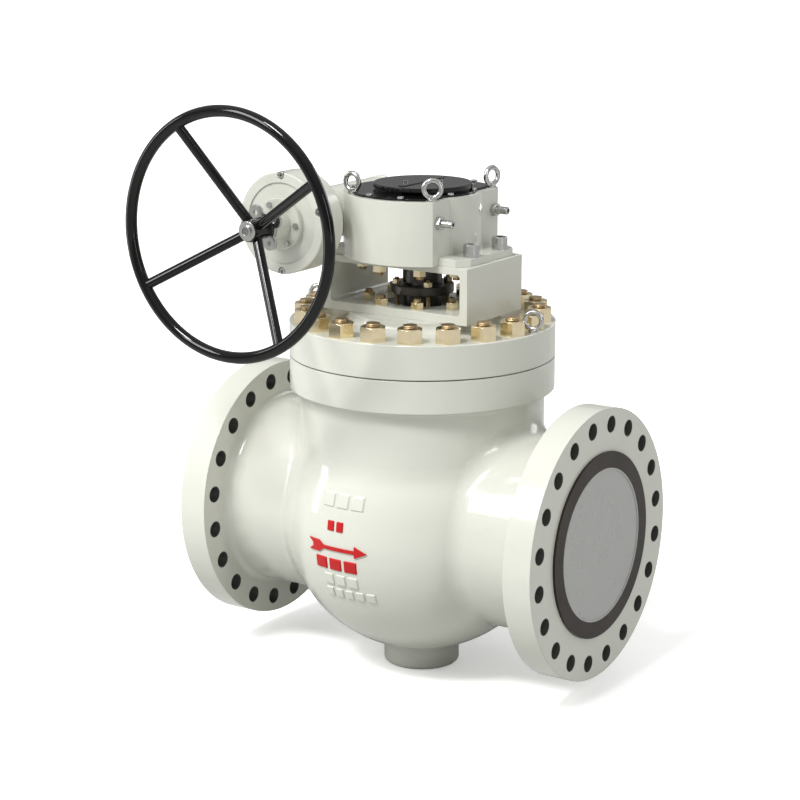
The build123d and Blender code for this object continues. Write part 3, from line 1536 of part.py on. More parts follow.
pieces = {
    "body": body,
    "bonnet_gasket": bonnet_gasket,
    "bonnet": bonnet,
    "bonnet_studs": bonnet_studs,
    "bonnet_nuts": bonnet_nuts,
    "bonnet_eyebolts": bonnet_eyebolts,
    "plug": plug,
    "trunnion_bush": trunnion_bush,
    "trunnion_pin": trunnion_pin,
    "trunnion_washer": trunnion_washer,
    "seat_ring_inlet": seat_ring_inlet,
    "seat_ring_outlet": seat_ring_outlet,
    "seat_inserts": seat_inserts,
    "seat_springs": seat_springs,
    "seat_orings": seat_orings,
    "stem": stem,
    "stem_key": stem_key,
    "stem_collar_bush": stem_collar_bush,
    "stem_thrust_washer": stem_thrust_washer,
    "stem_bush": stem_bush,
    "packing_rings": packing_rings,
    "gland_bush": gland_bush,
    "gland_flange": gland_flange,
    "gland_studs": gland_studs,
    "gland_nuts": gland_nuts,
    "yoke": yoke,
    "yoke_studs": yoke_studs,
    "yoke_nuts": yoke_nuts,
    "gearbox_housing": gearbox_housing,
    "gearbox_cover": gearbox_cover,
    "gearbox_cover_screws": gearbox_cover_screws,
    "gearbox_studs": gearbox_studs,
    "gearbox_nuts": gearbox_nuts,
    "gearbox_cap_screws": gearbox_cap_screws,
    "gearbox_eyebolts": gearbox_eyebolts,
    "position_indicator": position_indicator,
    "indicator_screws": indicator_screws,
    "stop_screws": stop_screws,
    "stop_locknuts": stop_locknuts,
    "worm_wheel": worm_wheel,
    "stem_sleeve": stem_sleeve,
    "worm_shaft": worm_shaft,
    "worm_bearings": worm_bearings,
    "bearing_end_cap": bearing_end_cap,
    "ring_gear": ring_gear,
    "sun_shaft": sun_shaft,
    "planet_carrier": planet_carrier,
    "reducer_cover": reducer_cover,
    "reducer_cover_screws": reducer_cover_screws,
    "input_bearing_housing": input_bearing_housing,
    "bearing_screws": bearing_screws,
    "lobe_plate": lobe_plate,
    "handwheel": handwheel,
    "handwheel_nut": handwheel_nut,
    "shipping_cover_inlet": shipping_cover_inlet,
    "shipping_cover_outlet": shipping_cover_outlet,
    "flow_arrow": flow_arrow,
}
os.makedirs("parts", exist_ok=True)
for i in range(planet_count):
    pieces["planet_gear_" + str(i + 1)] = planets[i]
for name, piece in pieces.items():
    save(piece, name)
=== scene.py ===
import math

import bmesh
import bpy
from mathutils import Matrix, Vector


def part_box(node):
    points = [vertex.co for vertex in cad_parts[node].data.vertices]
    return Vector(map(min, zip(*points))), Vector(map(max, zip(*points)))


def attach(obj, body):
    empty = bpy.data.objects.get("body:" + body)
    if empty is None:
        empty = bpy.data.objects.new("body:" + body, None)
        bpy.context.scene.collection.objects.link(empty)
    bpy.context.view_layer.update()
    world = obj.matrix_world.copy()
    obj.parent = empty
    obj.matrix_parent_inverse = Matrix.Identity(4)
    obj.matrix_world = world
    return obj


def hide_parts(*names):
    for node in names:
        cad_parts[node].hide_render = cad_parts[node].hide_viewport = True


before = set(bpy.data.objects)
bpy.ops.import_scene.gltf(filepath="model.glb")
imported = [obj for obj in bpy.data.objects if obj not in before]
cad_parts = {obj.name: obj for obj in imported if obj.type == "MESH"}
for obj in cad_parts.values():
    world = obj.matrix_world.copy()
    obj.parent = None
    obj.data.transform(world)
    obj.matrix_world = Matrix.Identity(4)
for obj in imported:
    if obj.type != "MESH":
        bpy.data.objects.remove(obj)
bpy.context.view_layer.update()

# Body casting: one thick steel casting with the foot, the bulb and both pipe flanges. The skin is
# sand-cast and sprayed in glossy light grey. The raised faces are turned, left unpainted and oiled
# with fine rings; their near-black colour is a painted dark reflection, and the bore walls carry
# the same near-black as painted shade. The bolt-hole walls are dark grey painted shade.
FACE_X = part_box("body")[1].x
PIPE_Z = 0.400
RAISED_FACE_R = 0.2352
RAISED_FACE_X = FACE_X - 0.0067
GREY_PAINT = (0.590, 0.598, 0.535, 1.0)
GREY_PAINT_THIN = (0.530, 0.536, 0.476, 1.0)
# Near-black colour of the turned steel: a painted dark reflection on the raised faces and painted shade
# on the bore walls, under brown oil streaks.
PAINTED_DARK_STEEL = (0.009, 0.009, 0.008, 1.0)
OILED_STREAK = (0.045, 0.031, 0.022, 1.0)
# Dark grey painted shade on the bolt-hole walls of both flanges.
HOLE_WALL_PAINTED_SHADE = (0.085, 0.085, 0.078, 1.0)
BORE_R = 0.1940
FLANGE_BACK_X = 0.4450
HOLE_CIRCLE_R = 0.3016
HOLE_PITCH = math.radians(18)
HOLE_WALL_R = 0.0213


def new_finish(name):
    """A new material with its own shader, ready for the nodes of one finish."""
    finish = bpy.data.materials.new(name)
    finish.use_nodes = True
    return finish, finish.node_tree, finish.node_tree.nodes["Principled BSDF"]


def put(tree, kind, values=None, **settings):
    """A node with its settings and its plain socket values."""
    node = tree.nodes.new(kind)
    for key, value in settings.items():
        setattr(node, key, value)
    for socket, value in (values or {}).items():
        node.inputs[socket].default_value = value
    return node


def wire(tree, *links):
    """Joins an output to an input for each pair of (node, socket, node, socket)."""
    for source, out, target, into in links:
        tree.links.new(source.outputs[out], target.inputs[into])


def effect(name, inputs, outputs):
    """An empty shared effect, with its named number inputs and outputs."""
    group = bpy.data.node_groups.new(name, "ShaderNodeTree")
    for socket, kind, value in inputs:
        made = group.interface.new_socket(name=socket, in_out="INPUT", socket_type=kind)
        if value is not None:
            made.default_value = value
    for socket, kind in outputs:
        group.interface.new_socket(name=socket, in_out="OUTPUT", socket_type=kind)
    start = group.nodes.new("NodeGroupInput")
    end = group.nodes.new("NodeGroupOutput")
    return group, start, end


# Sprayed gloss on every painted piece: the fine ripple that thick paint dries with, over the slow
# waves of the skin under it, and a blotch where the coat runs thinner.
sprayed, s_in, s_out = effect(
    "sprayed_gloss",
    [
        ("Vector", "NodeSocketVector", None),
        ("Ripple Scale", "NodeSocketFloat", 260.0),
        ("Ripple", "NodeSocketFloat", 0.3),
        ("Wave Scale", "NodeSocketFloat", 22.0),
        ("Wave", "NodeSocketFloat", 1.0),
    ],
    [("Height", "NodeSocketFloat"), ("Blotch", "NodeSocketFloat")],
)
ripple = put(sprayed, "ShaderNodeTexNoise", {"Detail": 2.0, "Roughness": 0.45})
wave = put(sprayed, "ShaderNodeTexNoise", {"Detail": 3.0, "Roughness": 0.5})
blotch = put(sprayed, "ShaderNodeTexNoise", {"Scale": 5.0, "Detail": 4.0, "Roughness": 0.6})
ripple_part = put(sprayed, "ShaderNodeMath", operation="MULTIPLY")
wave_part = put(sprayed, "ShaderNodeMath", operation="MULTIPLY")
both = put(sprayed, "ShaderNodeMath", operation="ADD")
wire(
    sprayed,
    (s_in, "Vector", ripple, "Vector"),
    (s_in, "Vector", wave, "Vector"),
    (s_in, "Vector", blotch, "Vector"),
    (s_in, "Ripple Scale", ripple, "Scale"),
    (s_in, "Wave Scale", wave, "Scale"),
    (ripple, "Fac", ripple_part, 0),
    (s_in, "Ripple", ripple_part, 1),
    (wave, "Fac", wave_part, 0),
    (s_in, "Wave", wave_part, 1),
    (ripple_part, "Value", both, 0),
    (wave_part, "Value", both, 1),
    (both, "Value", s_out, "Height"),
    (blotch, "Fac", s_out, "Blotch"),
)

# Worn edges, where handling and tools rub paint or plating through first: strong where a face
# turns sharply, and broken up by a fine noise so no edge wears evenly.
worn, w_in, w_out = effect(
    "worn_edges",
    [
        ("Vector", "NodeSocketVector", None),
        ("Width", "NodeSocketFloat", 0.0015),
        ("Amount", "NodeSocketFloat", 1.0),
    ],
    [("Mask", "NodeSocketFloat")],
)
rounded = put(worn, "ShaderNodeBevel", samples=4)
plain = put(worn, "ShaderNodeNewGeometry")
turn = put(worn, "ShaderNodeVectorMath", operation="DOT_PRODUCT")
sharp = put(
    worn,
    "ShaderNodeMapRange",
    {"From Min": 0.995, "From Max": 0.82, "To Min": 0.0, "To Max": 1.0},
)
chips = put(worn, "ShaderNodeTexNoise", {"Scale": 120.0, "Detail": 4.0, "Roughness": 0.65})
chip_step = put(worn, "ShaderNodeMapRange", {"From Min": 0.42, "From Max": 0.62})
worn_part = put(worn, "ShaderNodeMath", operation="MULTIPLY")
worn_amount = put(worn, "ShaderNodeMath", operation="MULTIPLY", use_clamp=True)
wire(
    worn,
    (w_in, "Width", rounded, "Radius"),
    (rounded, "Normal", turn, 0),
    (plain, "Normal", turn, 1),
    (turn, "Value", sharp, "Value"),
    (w_in, "Vector", chips, "Vector"),
    (chips, "Fac", chip_step, "Value"),
    (sharp, "Result", worn_part, 0),
    (chip_step, "Result", worn_part, 1),
    (worn_part, "Value", worn_amount, 0),
    (w_in, "Amount", worn_amount, 1),
    (worn_amount, "Value", w_out, "Mask"),
)

# Settled dust from the shop floor: a thin layer on the faces that look up, gathered in soft
# patches and never on the undersides.
dusty, d_in, d_out = effect(
    "settled_dust",
    [("Vector", "NodeSocketVector", None), ("Amount", "NodeSocketFloat", 0.3)],
    [("Mask", "NodeSocketFloat")],
)
facing = put(dusty, "ShaderNodeNewGeometry")
parts = put(dusty, "ShaderNodeSeparateXYZ")
upward = put(dusty, "ShaderNodeMapRange", {"From Min": 0.35, "From Max": 1.0})
patches = put(dusty, "ShaderNodeTexNoise", {"Scale": 14.0, "Detail": 5.0, "Roughness": 0.6})
patch_step = put(dusty, "ShaderNodeMapRange", {"From Min": 0.35, "From Max": 0.75})
dust_part = put(dusty, "ShaderNodeMath", operation="MULTIPLY")
dust_amount = put(dusty, "ShaderNodeMath", operation="MULTIPLY", use_clamp=True)
wire(
    dusty,
    (facing, "Normal", parts, "Vector"),
    (parts, "Z", upward, "Value"),
    (d_in, "Vector", patches, "Vector"),
    (patches, "Fac", patch_step, "Value"),
    (upward, "Result", dust_part, 0),
    (patch_step, "Result", dust_part, 1),
    (dust_part, "Value", dust_amount, 0),
    (d_in, "Amount", dust_amount, 1),
    (dust_amount, "Value", d_out, "Mask"),
)


def grey_paint(name, wave, ripple, wave_scale, edge, wear):
    """Glossy light grey paint: how lumpy the metal is, how strong the ripple, how round the edges."""
    finish, tree, shader = new_finish(name)
    place = put(tree, "ShaderNodeTexCoord")
    skin = put(tree, "ShaderNodeGroup", node_tree=sprayed)
    skin.inputs["Wave"].default_value = wave
    skin.inputs["Ripple"].default_value = ripple
    skin.inputs["Wave Scale"].default_value = wave_scale
    edges = put(tree, "ShaderNodeGroup", node_tree=worn)
    edges.inputs["Width"].default_value = edge
    edges.inputs["Amount"].default_value = wear
    dust = put(tree, "ShaderNodeGroup", node_tree=dusty)
    dust.inputs["Amount"].default_value = 0.07
    round_edge = put(tree, "ShaderNodeBevel", {"Radius": edge}, samples=6)
    bump = put(tree, "ShaderNodeBump", {"Strength": 0.55, "Distance": 0.0012})
    shade = put(tree, "ShaderNodeMix", {"A": GREY_PAINT, "B": GREY_PAINT_THIN}, data_type="RGBA")
    blotch_part = put(tree, "ShaderNodeMath", {1: 0.45}, operation="MULTIPLY")
    chipped = put(tree, "ShaderNodeMix", {"B": (0.36, 0.35, 0.32, 1.0)}, data_type="RGBA")
    dusted = put(tree, "ShaderNodeMix", {"B": (0.50, 0.47, 0.41, 1.0)}, data_type="RGBA")
    rough = put(
        tree,
        "ShaderNodeMapRange",
        {"From Min": 0.3, "From Max": 0.7, "To Min": 0.09, "To Max": 0.18},
    )
    rough_dust = put(tree, "ShaderNodeMath", {1: 0.5}, operation="MULTIPLY_ADD")
    wire(
        tree,
        (place, "Object", skin, "Vector"),
        (place, "Object", edges, "Vector"),
        (place, "Object", dust, "Vector"),
        (skin, "Height", bump, "Height"),
        (round_edge, "Normal", bump, "Normal"),
        (bump, "Normal", shader, "Normal"),
        (skin, "Blotch", blotch_part, 0),
        (blotch_part, "Value", shade, "Factor"),
        (shade, "Result", chipped, "A"),
        (edges, "Mask", chipped, "Factor"),
        (chipped, "Result", dusted, "A"),
        (dust, "Mask", dusted, "Factor"),
        (dusted, "Result", shader, "Base Color"),
        (skin, "Blotch", rough, "Value"),
        (dust, "Mask", rough_dust, 0),
        (rough, "Result", rough_dust, 2),
        (rough_dust, "Value", shader, "Roughness"),
    )
    shader.inputs["Coat Weight"].default_value = 0.10
    shader.inputs["Coat Roughness"].default_value = 0.05
    shader.inputs["Specular IOR Level"].default_value = 0.5
    return finish, tree, shader


def clothe(finish, *nodes):
    """Gives CAD pieces their finish."""
    for node in nodes:
        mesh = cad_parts[node].data
        mesh.materials.clear()
        mesh.materials.append(finish)


body_paint, tree, shader = grey_paint("body_casting_paint", 1.9, 0.14, 17.0, 0.004, 0.12)
place = put(tree, "ShaderNodeTexCoord")
axes = put(tree, "ShaderNodeSeparateXYZ")
along = put(tree, "ShaderNodeMath", operation="ABSOLUTE")
beyond = put(tree, "ShaderNodeMath", {1: RAISED_FACE_X}, operation="GREATER_THAN")
height = put(tree, "ShaderNodeMath", {1: PIPE_Z}, operation="SUBTRACT")
flat = put(tree, "ShaderNodeCombineXYZ")
radius = put(tree, "ShaderNodeVectorMath", operation="LENGTH")
within = put(tree, "ShaderNodeMath", {1: RAISED_FACE_R}, operation="LESS_THAN")
in_bore = put(tree, "ShaderNodeMath", {1: BORE_R}, operation="LESS_THAN")
at_flange = put(tree, "ShaderNodeMath", {1: FLANGE_BACK_X}, operation="GREATER_THAN")
polar = put(tree, "ShaderNodeMath", operation="ARCTAN2")
one_pitch = put(tree, "ShaderNodeMath", {1: HOLE_PITCH, 2: 0.0}, operation="WRAP")
from_hole = put(tree, "ShaderNodeMath", {1: HOLE_PITCH / 2}, operation="SUBTRACT")
sideways = put(tree, "ShaderNodeMath", operation="MULTIPLY")
outwards = put(tree, "ShaderNodeMath", {1: HOLE_CIRCLE_R}, operation="SUBTRACT")
hole_offset = put(tree, "ShaderNodeCombineXYZ")
hole_distance = put(tree, "ShaderNodeVectorMath", operation="LENGTH")
near_hole = put(tree, "ShaderNodeMath", {1: HOLE_WALL_R}, operation="LESS_THAN")
in_hole = put(tree, "ShaderNodeMath", operation="MULTIPLY")
machined_painted_dark = put(tree, "ShaderNodeMath", operation="MAXIMUM")
on_face = put(tree, "ShaderNodeMath", operation="MULTIPLY")
dark_face_and_bore_mask = put(tree, "ShaderNodeMath", operation="MAXIMUM")
rings = put(tree, "ShaderNodeTexNoise", {"Scale": 900.0, "Detail": 2.0}, noise_dimensions="1D")
ring_bump = put(tree, "ShaderNodeBump", {"Strength": 0.5, "Distance": 0.0004})
oil = put(tree, "ShaderNodeTexNoise", {"Scale": 9.0, "Detail": 4.0})
# The near-black mixed here is a painted dark reflection on the raised faces and painted shade in the
# bore; the brown streaks are oil.
oil_over_painted_dark = put(tree, "ShaderNodeMix", {"A": PAINTED_DARK_STEEL, "B": OILED_STREAK}, data_type="RGBA")
# The bolt-hole walls take the dark grey painted shade here.
painted_dark_and_hole_shade = put(tree, "ShaderNodeMix", {"B": HOLE_WALL_PAINTED_SHADE}, data_type="RGBA")
turned = put(
    tree,
    "ShaderNodeBsdfPrincipled",
    {"Metallic": 0.0, "Roughness": 0.30, "Specular IOR Level": 0.2, "Anisotropic": 0.6},
)
seen = put(tree, "ShaderNodeMixShader")
surface = tree.nodes["Material Output"]
wire(
    tree,
    (place, "Object", axes, "Vector"),
    (axes, "X", along, 0),
    (along, "Value", beyond, 0),
    (axes, "Z", height, 0),
    (axes, "Y", flat, "X"),
    (height, "Value", flat, "Y"),
    (flat, "Vector", radius, 0),
    (radius, "Value", within, 0),
    (radius, "Value", in_bore, 0),
    (beyond, "Value", on_face, 0),
    (within, "Value", on_face, 1),
    (on_face, "Value", dark_face_and_bore_mask, 0),
    (in_bore, "Value", dark_face_and_bore_mask, 1),
    (radius, "Value", rings, "W"),
    (rings, "Fac", ring_bump, "Height"),
    (place, "Object", oil, "Vector"),
    (oil, "Fac", oil_over_painted_dark, "Factor"),
    (oil_over_painted_dark, "Result", painted_dark_and_hole_shade, "A"),
    (in_hole, "Value", painted_dark_and_hole_shade, "Factor"),
    (painted_dark_and_hole_shade, "Result", turned, "Base Color"),
    (ring_bump, "Normal", turned, "Normal"),
    (along, "Value", at_flange, 0),
    (axes, "Y", polar, 0),
    (height, "Value", polar, 1),
    (polar, "Value", one_pitch, 0),
    (one_pitch, "Value", from_hole, 0),
    (from_hole, "Value", sideways, 0),
    (radius, "Value", sideways, 1),
    (radius, "Value", outwards, 0),
    (sideways, "Value", hole_offset, "X"),
    (outwards, "Value", hole_offset, "Y"),
    (hole_offset, "Vector", hole_distance, 0),
    (hole_distance, "Value", near_hole, 0),
    (near_hole, "Value", in_hole, 0),
    (at_flange, "Value", in_hole, 1),
    (dark_face_and_bore_mask, "Value", machined_painted_dark, 0),
    (in_hole, "Value", machined_painted_dark, 1),
    (machined_painted_dark, "Value", seen, "Fac"),
    (shader, "BSDF", seen, 1),
    (turned, "BSDF", seen, 2),
    (seen, "Shader", surface, "Surface"),
)
clothe(body_paint, "body")

# Foundry marks: the maker's raised cast lines and the rating, left here as rows of blank blocks
# on the bulb, cast with it. The rows beside the flow arrow are picked out in red like it.
BULB_R = 0.355
MARK_RAISE = 0.0030
MARK_SHOULDER = 0.0030
MARK_ROOT = 0.0008
MARK_GAP = 0.006


def cast_block(mesh, x, z, width, tall):
    """One blank block with soft shoulders, wrapped on the bulb's front and let into it a little."""
    across, up = 12, 10
    rows = []
    for j in range(up + 1):
        row = []
        for i in range(across + 1):
            u, v = 2 * i / across - 1, 2 * j / up - 1
            edge_u = abs(u) * width / 2 - width / 2 + MARK_SHOULDER
            edge_v = abs(v) * tall / 2 - tall / 2 + MARK_SHOULDER
            edge = min(1.0, max(edge_u, edge_v, 0.0) / MARK_SHOULDER)
            r = BULB_R + (MARK_RAISE + MARK_ROOT) * math.sqrt(1 - edge * edge) - MARK_ROOT
            px, pz = x + u * width / 2, z + v * tall / 2
            row.append(mesh.verts.new((px, -math.sqrt(r * r - px * px - (pz - PIPE_Z) ** 2), pz)))
        rows.append(row)
    back = [[mesh.verts.new(vert.co + Vector((0, 0.004, 0))) for vert in row] for row in rows]
    for j in range(up):
        for i in range(across):
            mesh.faces.new((rows[j][i], rows[j][i + 1], rows[j + 1][i + 1], rows[j + 1][i]))
            mesh.faces.new((back[j][i], back[j + 1][i], back[j + 1][i + 1], back[j][i + 1]))
    for i in range(across):
        mesh.faces.new((rows[0][i], back[0][i], back[0][i + 1], rows[0][i + 1]))
        mesh.faces.new((rows[up][i], rows[up][i + 1], back[up][i + 1], back[up][i]))
    for j in range(up):
        mesh.faces.new((rows[j][0], rows[j + 1][0], back[j + 1][0], back[j][0]))
        mesh.faces.new((rows[j][across], back[j][across], back[j + 1][across], rows[j + 1][across]))


def cast_row(mesh, x, z, length, tall, blocks):
    """A row of equal blank blocks, centred at x and z on the bulb's front."""
    width = (length - MARK_GAP * (blocks - 1)) / blocks
    for i in range(blocks):
        cast_block(mesh, x + (i - (blocks - 1) / 2) * (width + MARK_GAP), z, width, tall)


def finished_piece(name, mesh, finish, body):
    """Turns a bmesh into a smooth-shaded piece that rides on a body."""
    bmesh.ops.recalc_face_normals(mesh, faces=mesh.faces)
    data = bpy.data.meshes.new(name)
    mesh.to_mesh(data)
    mesh.free()
    data.materials.append(finish)
    data.shade_smooth()
    data.set_sharp_from_angle(angle=math.radians(35))
    piece = bpy.data.objects.new(name, data)
    bpy.context.scene.collection.objects.link(piece)
    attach(piece, body)
    return piece


red_paint, tree, shader = new_finish("red_marking_paint")
place = put(tree, "ShaderNodeTexCoord")
skin = put(tree, "ShaderNodeGroup", node_tree=sprayed)
skin.inputs["Wave Scale"].default_value = 90.0
SIGNAL_RED = (0.52, 0.006, 0.006, 1.0)
SIGNAL_RED_THIN = (0.36, 0.004, 0.004, 1.0)
brush = put(tree, "ShaderNodeMix", {"A": SIGNAL_RED, "B": SIGNAL_RED_THIN}, data_type="RGBA")
bump = put(tree, "ShaderNodeBump", {"Strength": 0.5, "Distance": 0.0008})
rough = put(tree, "ShaderNodeMapRange", {"To Min": 0.22, "To Max": 0.42})
wire(
    tree,
    (place, "Object", skin, "Vector"),
    (skin, "Blotch", brush, "Factor"),
    (brush, "Result", shader, "Base Color"),
    (skin, "Height", bump, "Height"),
    (bump, "Normal", shader, "Normal"),
    (skin, "Blotch", rough, "Value"),
    (rough, "Result", shader, "Roughness"),
)
shader.inputs["Specular IOR Level"].default_value = 0.35
clothe(red_paint, "flow_arrow")

grey_marks = bmesh.new()
cast_row(grey_marks, -0.013, 0.508, 0.124, 0.040, 3)
cast_row(grey_marks, -0.020, 0.301, 0.104, 0.033, 3)
cast_row(grey_marks, -0.001, 0.2635, 0.148, 0.027, 5)
finished_piece("blank_foundry_marks", grey_marks, body_paint, "valve_body")
red_marks = bmesh.new()
cast_row(red_marks, -0.029, 0.4435, 0.050, 0.027, 2)
cast_row(red_marks, -0.031, 0.3435, 0.130, 0.033, 3)
finished_piece("blank_rating_marks", red_marks, red_paint, "valve_body")

# Bonnet, yoke, gearbox housing and reducer cover: castings and a machined frame in the same
# paint, smoother than the body because their faces were milled before spraying.
bonnet_paint = grey_paint("bonnet_casting_paint", 0.7, 0.12, 22.0, 0.003, 0.15)[0]
clothe(bonnet_paint, "bonnet")
yoke_paint = grey_paint("yoke_paint", 0.25, 0.12, 30.0, 0.0025, 0.22)[0]
clothe(yoke_paint, "yoke")
gearbox_paint = grey_paint("gearbox_paint", 0.40, 0.14, 30.0, 0.0025, 0.22)[0]
clothe(gearbox_paint, "gearbox_housing", "reducer_cover", "bearing_end_cap")
bearing_paint = grey_paint("input_bearing_paint", 0.4, 0.16, 50.0, 0.0015, 0.35)[0]
clothe(bearing_paint, "input_bearing_housing")

# Bonnet, yoke, gearbox and gland nuts and studs: forged and rolled steel, zinc plated and
# yellow passivated, so the gold drifts a little in tint from nut to nut. The stud threads take a
# darker, browner copy of the gold as painted shade.
YELLOW_ZINC = (0.82, 0.66, 0.40, 1.0)
PALE_ZINC = (0.96, 0.87, 0.64, 1.0)


def plated(name, colour, tint, metallic, low, high, grain_scale, bump_height):
    """Plated metal: two tints in clouds, a fine grain and rubbed bright edges."""
    finish, tree, shader = new_finish(name)
    place = put(tree, "ShaderNodeTexCoord")
    cloud = put(tree, "ShaderNodeTexNoise", {"Scale": 38.0, "Detail": 3.0})
    grain = put(tree, "ShaderNodeTexNoise", {"Scale": grain_scale, "Detail": 5.0, "Roughness": 0.7})
    edges = put(tree, "ShaderNodeGroup", node_tree=worn)
    edges.inputs["Width"].default_value = 0.0010
    edges.inputs["Amount"].default_value = 0.5
    mixed = put(tree, "ShaderNodeMix", {"A": colour, "B": tint}, data_type="RGBA")
    polished = tuple(min(1.0, 1.15 * channel) for channel in tint[:3]) + (1.0,)
    rubbed = put(tree, "ShaderNodeMix", {"B": polished}, data_type="RGBA")
    rough = put(
        tree,
        "ShaderNodeMapRange",
        {"From Min": 0.3, "From Max": 0.7, "To Min": low, "To Max": high},
    )
    round_edge = put(tree, "ShaderNodeBevel", {"Radius": 0.0009}, samples=4)
    bump = put(tree, "ShaderNodeBump", {"Strength": 0.35, "Distance": bump_height})
    wire(
        tree,
        (place, "Object", cloud, "Vector"),
        (place, "Object", grain, "Vector"),
        (place, "Object", edges, "Vector"),
        (cloud, "Fac", mixed, "Factor"),
        (mixed, "Result", rubbed, "A"),
        (edges, "Mask", rubbed, "Factor"),
        (rubbed, "Result", shader, "Base Color"),
        (grain, "Fac", rough, "Value"),
        (rough, "Result", shader, "Roughness"),
        (grain, "Fac", bump, "Height"),
        (round_edge, "Normal", bump, "Normal"),
        (bump, "Normal", shader, "Normal"),
    )
    shader.inputs["Metallic"].default_value = metallic
    return finish, tree, shader


yellow_zinc = plated("yellow_zinc", YELLOW_ZINC, PALE_ZINC, 1.0, 0.13, 0.25, 420.0, 0.0001)[0]
clothe(yellow_zinc, "bonnet_nuts", "yoke_nuts", "gearbox_nuts", "gland_nuts")


THREAD_SIDES = 22
RINGS_PER_PITCH = 4.0


def stud_rows():
    """The tree that cuts a right-hand thread on plain rods and stands one at each given point."""
    tree = bpy.data.node_groups.new("threaded_studs", "GeometryNodeTree")
    sockets = {}
    for name, kind, value in (
        ("Geometry", "NodeSocketGeometry", None),
        ("Stud Radius", "NodeSocketFloat", 0.018),
        ("Thread Pitch", "NodeSocketFloat", 0.004),
        ("Thread Depth", "NodeSocketFloat", 0.0018),
        ("Stud Length", "NodeSocketFloat", 0.05),
        ("Finish", "NodeSocketMaterial", None),
    ):
        made = tree.interface.new_socket(name=name, in_out="INPUT", socket_type=kind)
        if value is not None:
            made.default_value = value
        sockets[name] = made.identifier
    tree.interface.new_socket(name="Geometry", in_out="OUTPUT", socket_type="NodeSocketGeometry")
    start = put(tree, "NodeGroupInput")
    rod = put(tree, "GeometryNodeMeshCylinder", {"Vertices": THREAD_SIDES, "Fill Segments": 1})
    rings = put(tree, "ShaderNodeMath", operation="DIVIDE")
    ring_count = put(tree, "ShaderNodeMath", {1: RINGS_PER_PITCH}, operation="MULTIPLY")
    where = put(tree, "GeometryNodeInputPosition")
    split = put(tree, "ShaderNodeSeparateXYZ")
    angle = put(tree, "ShaderNodeMath", operation="ARCTAN2")
    turns = put(tree, "ShaderNodeMath", {1: 2 * math.pi}, operation="DIVIDE")
    climbed = put(tree, "ShaderNodeMath", operation="DIVIDE")
    phase = put(tree, "ShaderNodeMath", operation="SUBTRACT")
    whole = put(tree, "ShaderNodeMath", {1: 1.0, 2: 0.0}, operation="WRAP")
    tooth = put(tree, "ShaderNodeMath", {1: 0.5}, operation="PINGPONG")
    depth = put(tree, "ShaderNodeMath", {1: 2.0}, operation="MULTIPLY")
    cut = put(tree, "ShaderNodeMath", operation="MULTIPLY")
    share = put(tree, "ShaderNodeMath", operation="DIVIDE")
    left = put(tree, "ShaderNodeMath", {0: 1.0}, operation="SUBTRACT")
    moved = put(tree, "ShaderNodeCombineXYZ")
    x_new = put(tree, "ShaderNodeMath", operation="MULTIPLY")
    y_new = put(tree, "ShaderNodeMath", operation="MULTIPLY")
    carved = put(tree, "GeometryNodeSetPosition")
    stand = put(tree, "GeometryNodeInstanceOnPoints")
    real = put(tree, "GeometryNodeRealizeInstances")
    coated = put(tree, "GeometryNodeSetMaterial")
    end = put(tree, "NodeGroupOutput")
    wire(
        tree,
        (start, "Stud Radius", rod, "Radius"),
        (start, "Stud Length", rod, "Depth"),
        (start, "Stud Length", rings, 0),
        (start, "Thread Pitch", rings, 1),
        (rings, "Value", ring_count, 0),
        (ring_count, "Value", rod, "Side Segments"),
        (where, "Position", split, "Vector"),
        (split, "Y", angle, 0),
        (split, "X", angle, 1),
        (angle, "Value", turns, 0),
        (split, "Z", climbed, 0),
        (start, "Thread Pitch", climbed, 1),
        (climbed, "Value", phase, 0),
        (turns, "Value", phase, 1),
        (phase, "Value", whole, 0),
        (whole, "Value", tooth, 0),
        (tooth, "Value", depth, 0),
        (depth, "Value", cut, 0),
        (start, "Thread Depth", cut, 1),
        (cut, "Value", share, 0),
        (start, "Stud Radius", share, 1),
        (share, "Value", left, 1),
        (split, "X", x_new, 0),
        (left, "Value", x_new, 1),
        (split, "Y", y_new, 0),
        (left, "Value", y_new, 1),
        (x_new, "Value", moved, "X"),
        (y_new, "Value", moved, "Y"),
        (split, "Z", moved, "Z"),
        (rod, "Mesh", carved, "Geometry"),
        (moved, "Vector", carved, "Position"),
        (start, "Geometry", stand, "Points"),
        (carved, "Geometry", stand, "Instance"),
        (stand, "Instances", real, "Geometry"),
        (real, "Geometry", coated, "Geometry"),
        (start, "Finish", coated, "Material"),
        (coated, "Geometry", end, "Geometry"),
    )
    return tree, sockets


stud_tree, stud_sockets = stud_rows()


def threaded_studs(name, node, points, radius, pitch, depth, finish):
    """Real threads for one group of CAD studs, at the same places and the same height."""
    low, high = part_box(node)
    data = bpy.data.meshes.new(name)
    data.from_pydata([(x, y, (low.z + high.z) / 2) for x, y in points], [], [])
    piece = bpy.data.objects.new(name, data)
    bpy.context.scene.collection.objects.link(piece)
    grow = piece.modifiers.new("threads", "NODES")
    grow.node_group = stud_tree
    for socket, value in (
        ("Stud Radius", radius),
        ("Thread Pitch", pitch),
        ("Thread Depth", depth),
        ("Stud Length", high.z - low.z),
        ("Finish", finish),
    ):
        grow[stud_sockets[socket]] = value
    bpy.context.view_layer.update()
    grown = piece.evaluated_get(bpy.context.evaluated_depsgraph_get())
    solid = bpy.data.meshes.new_from_object(grown)
    piece.modifiers.remove(grow)
    piece.data = solid
    solid.name = name
    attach(piece, "valve_body")
    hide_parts(node)
    return piece


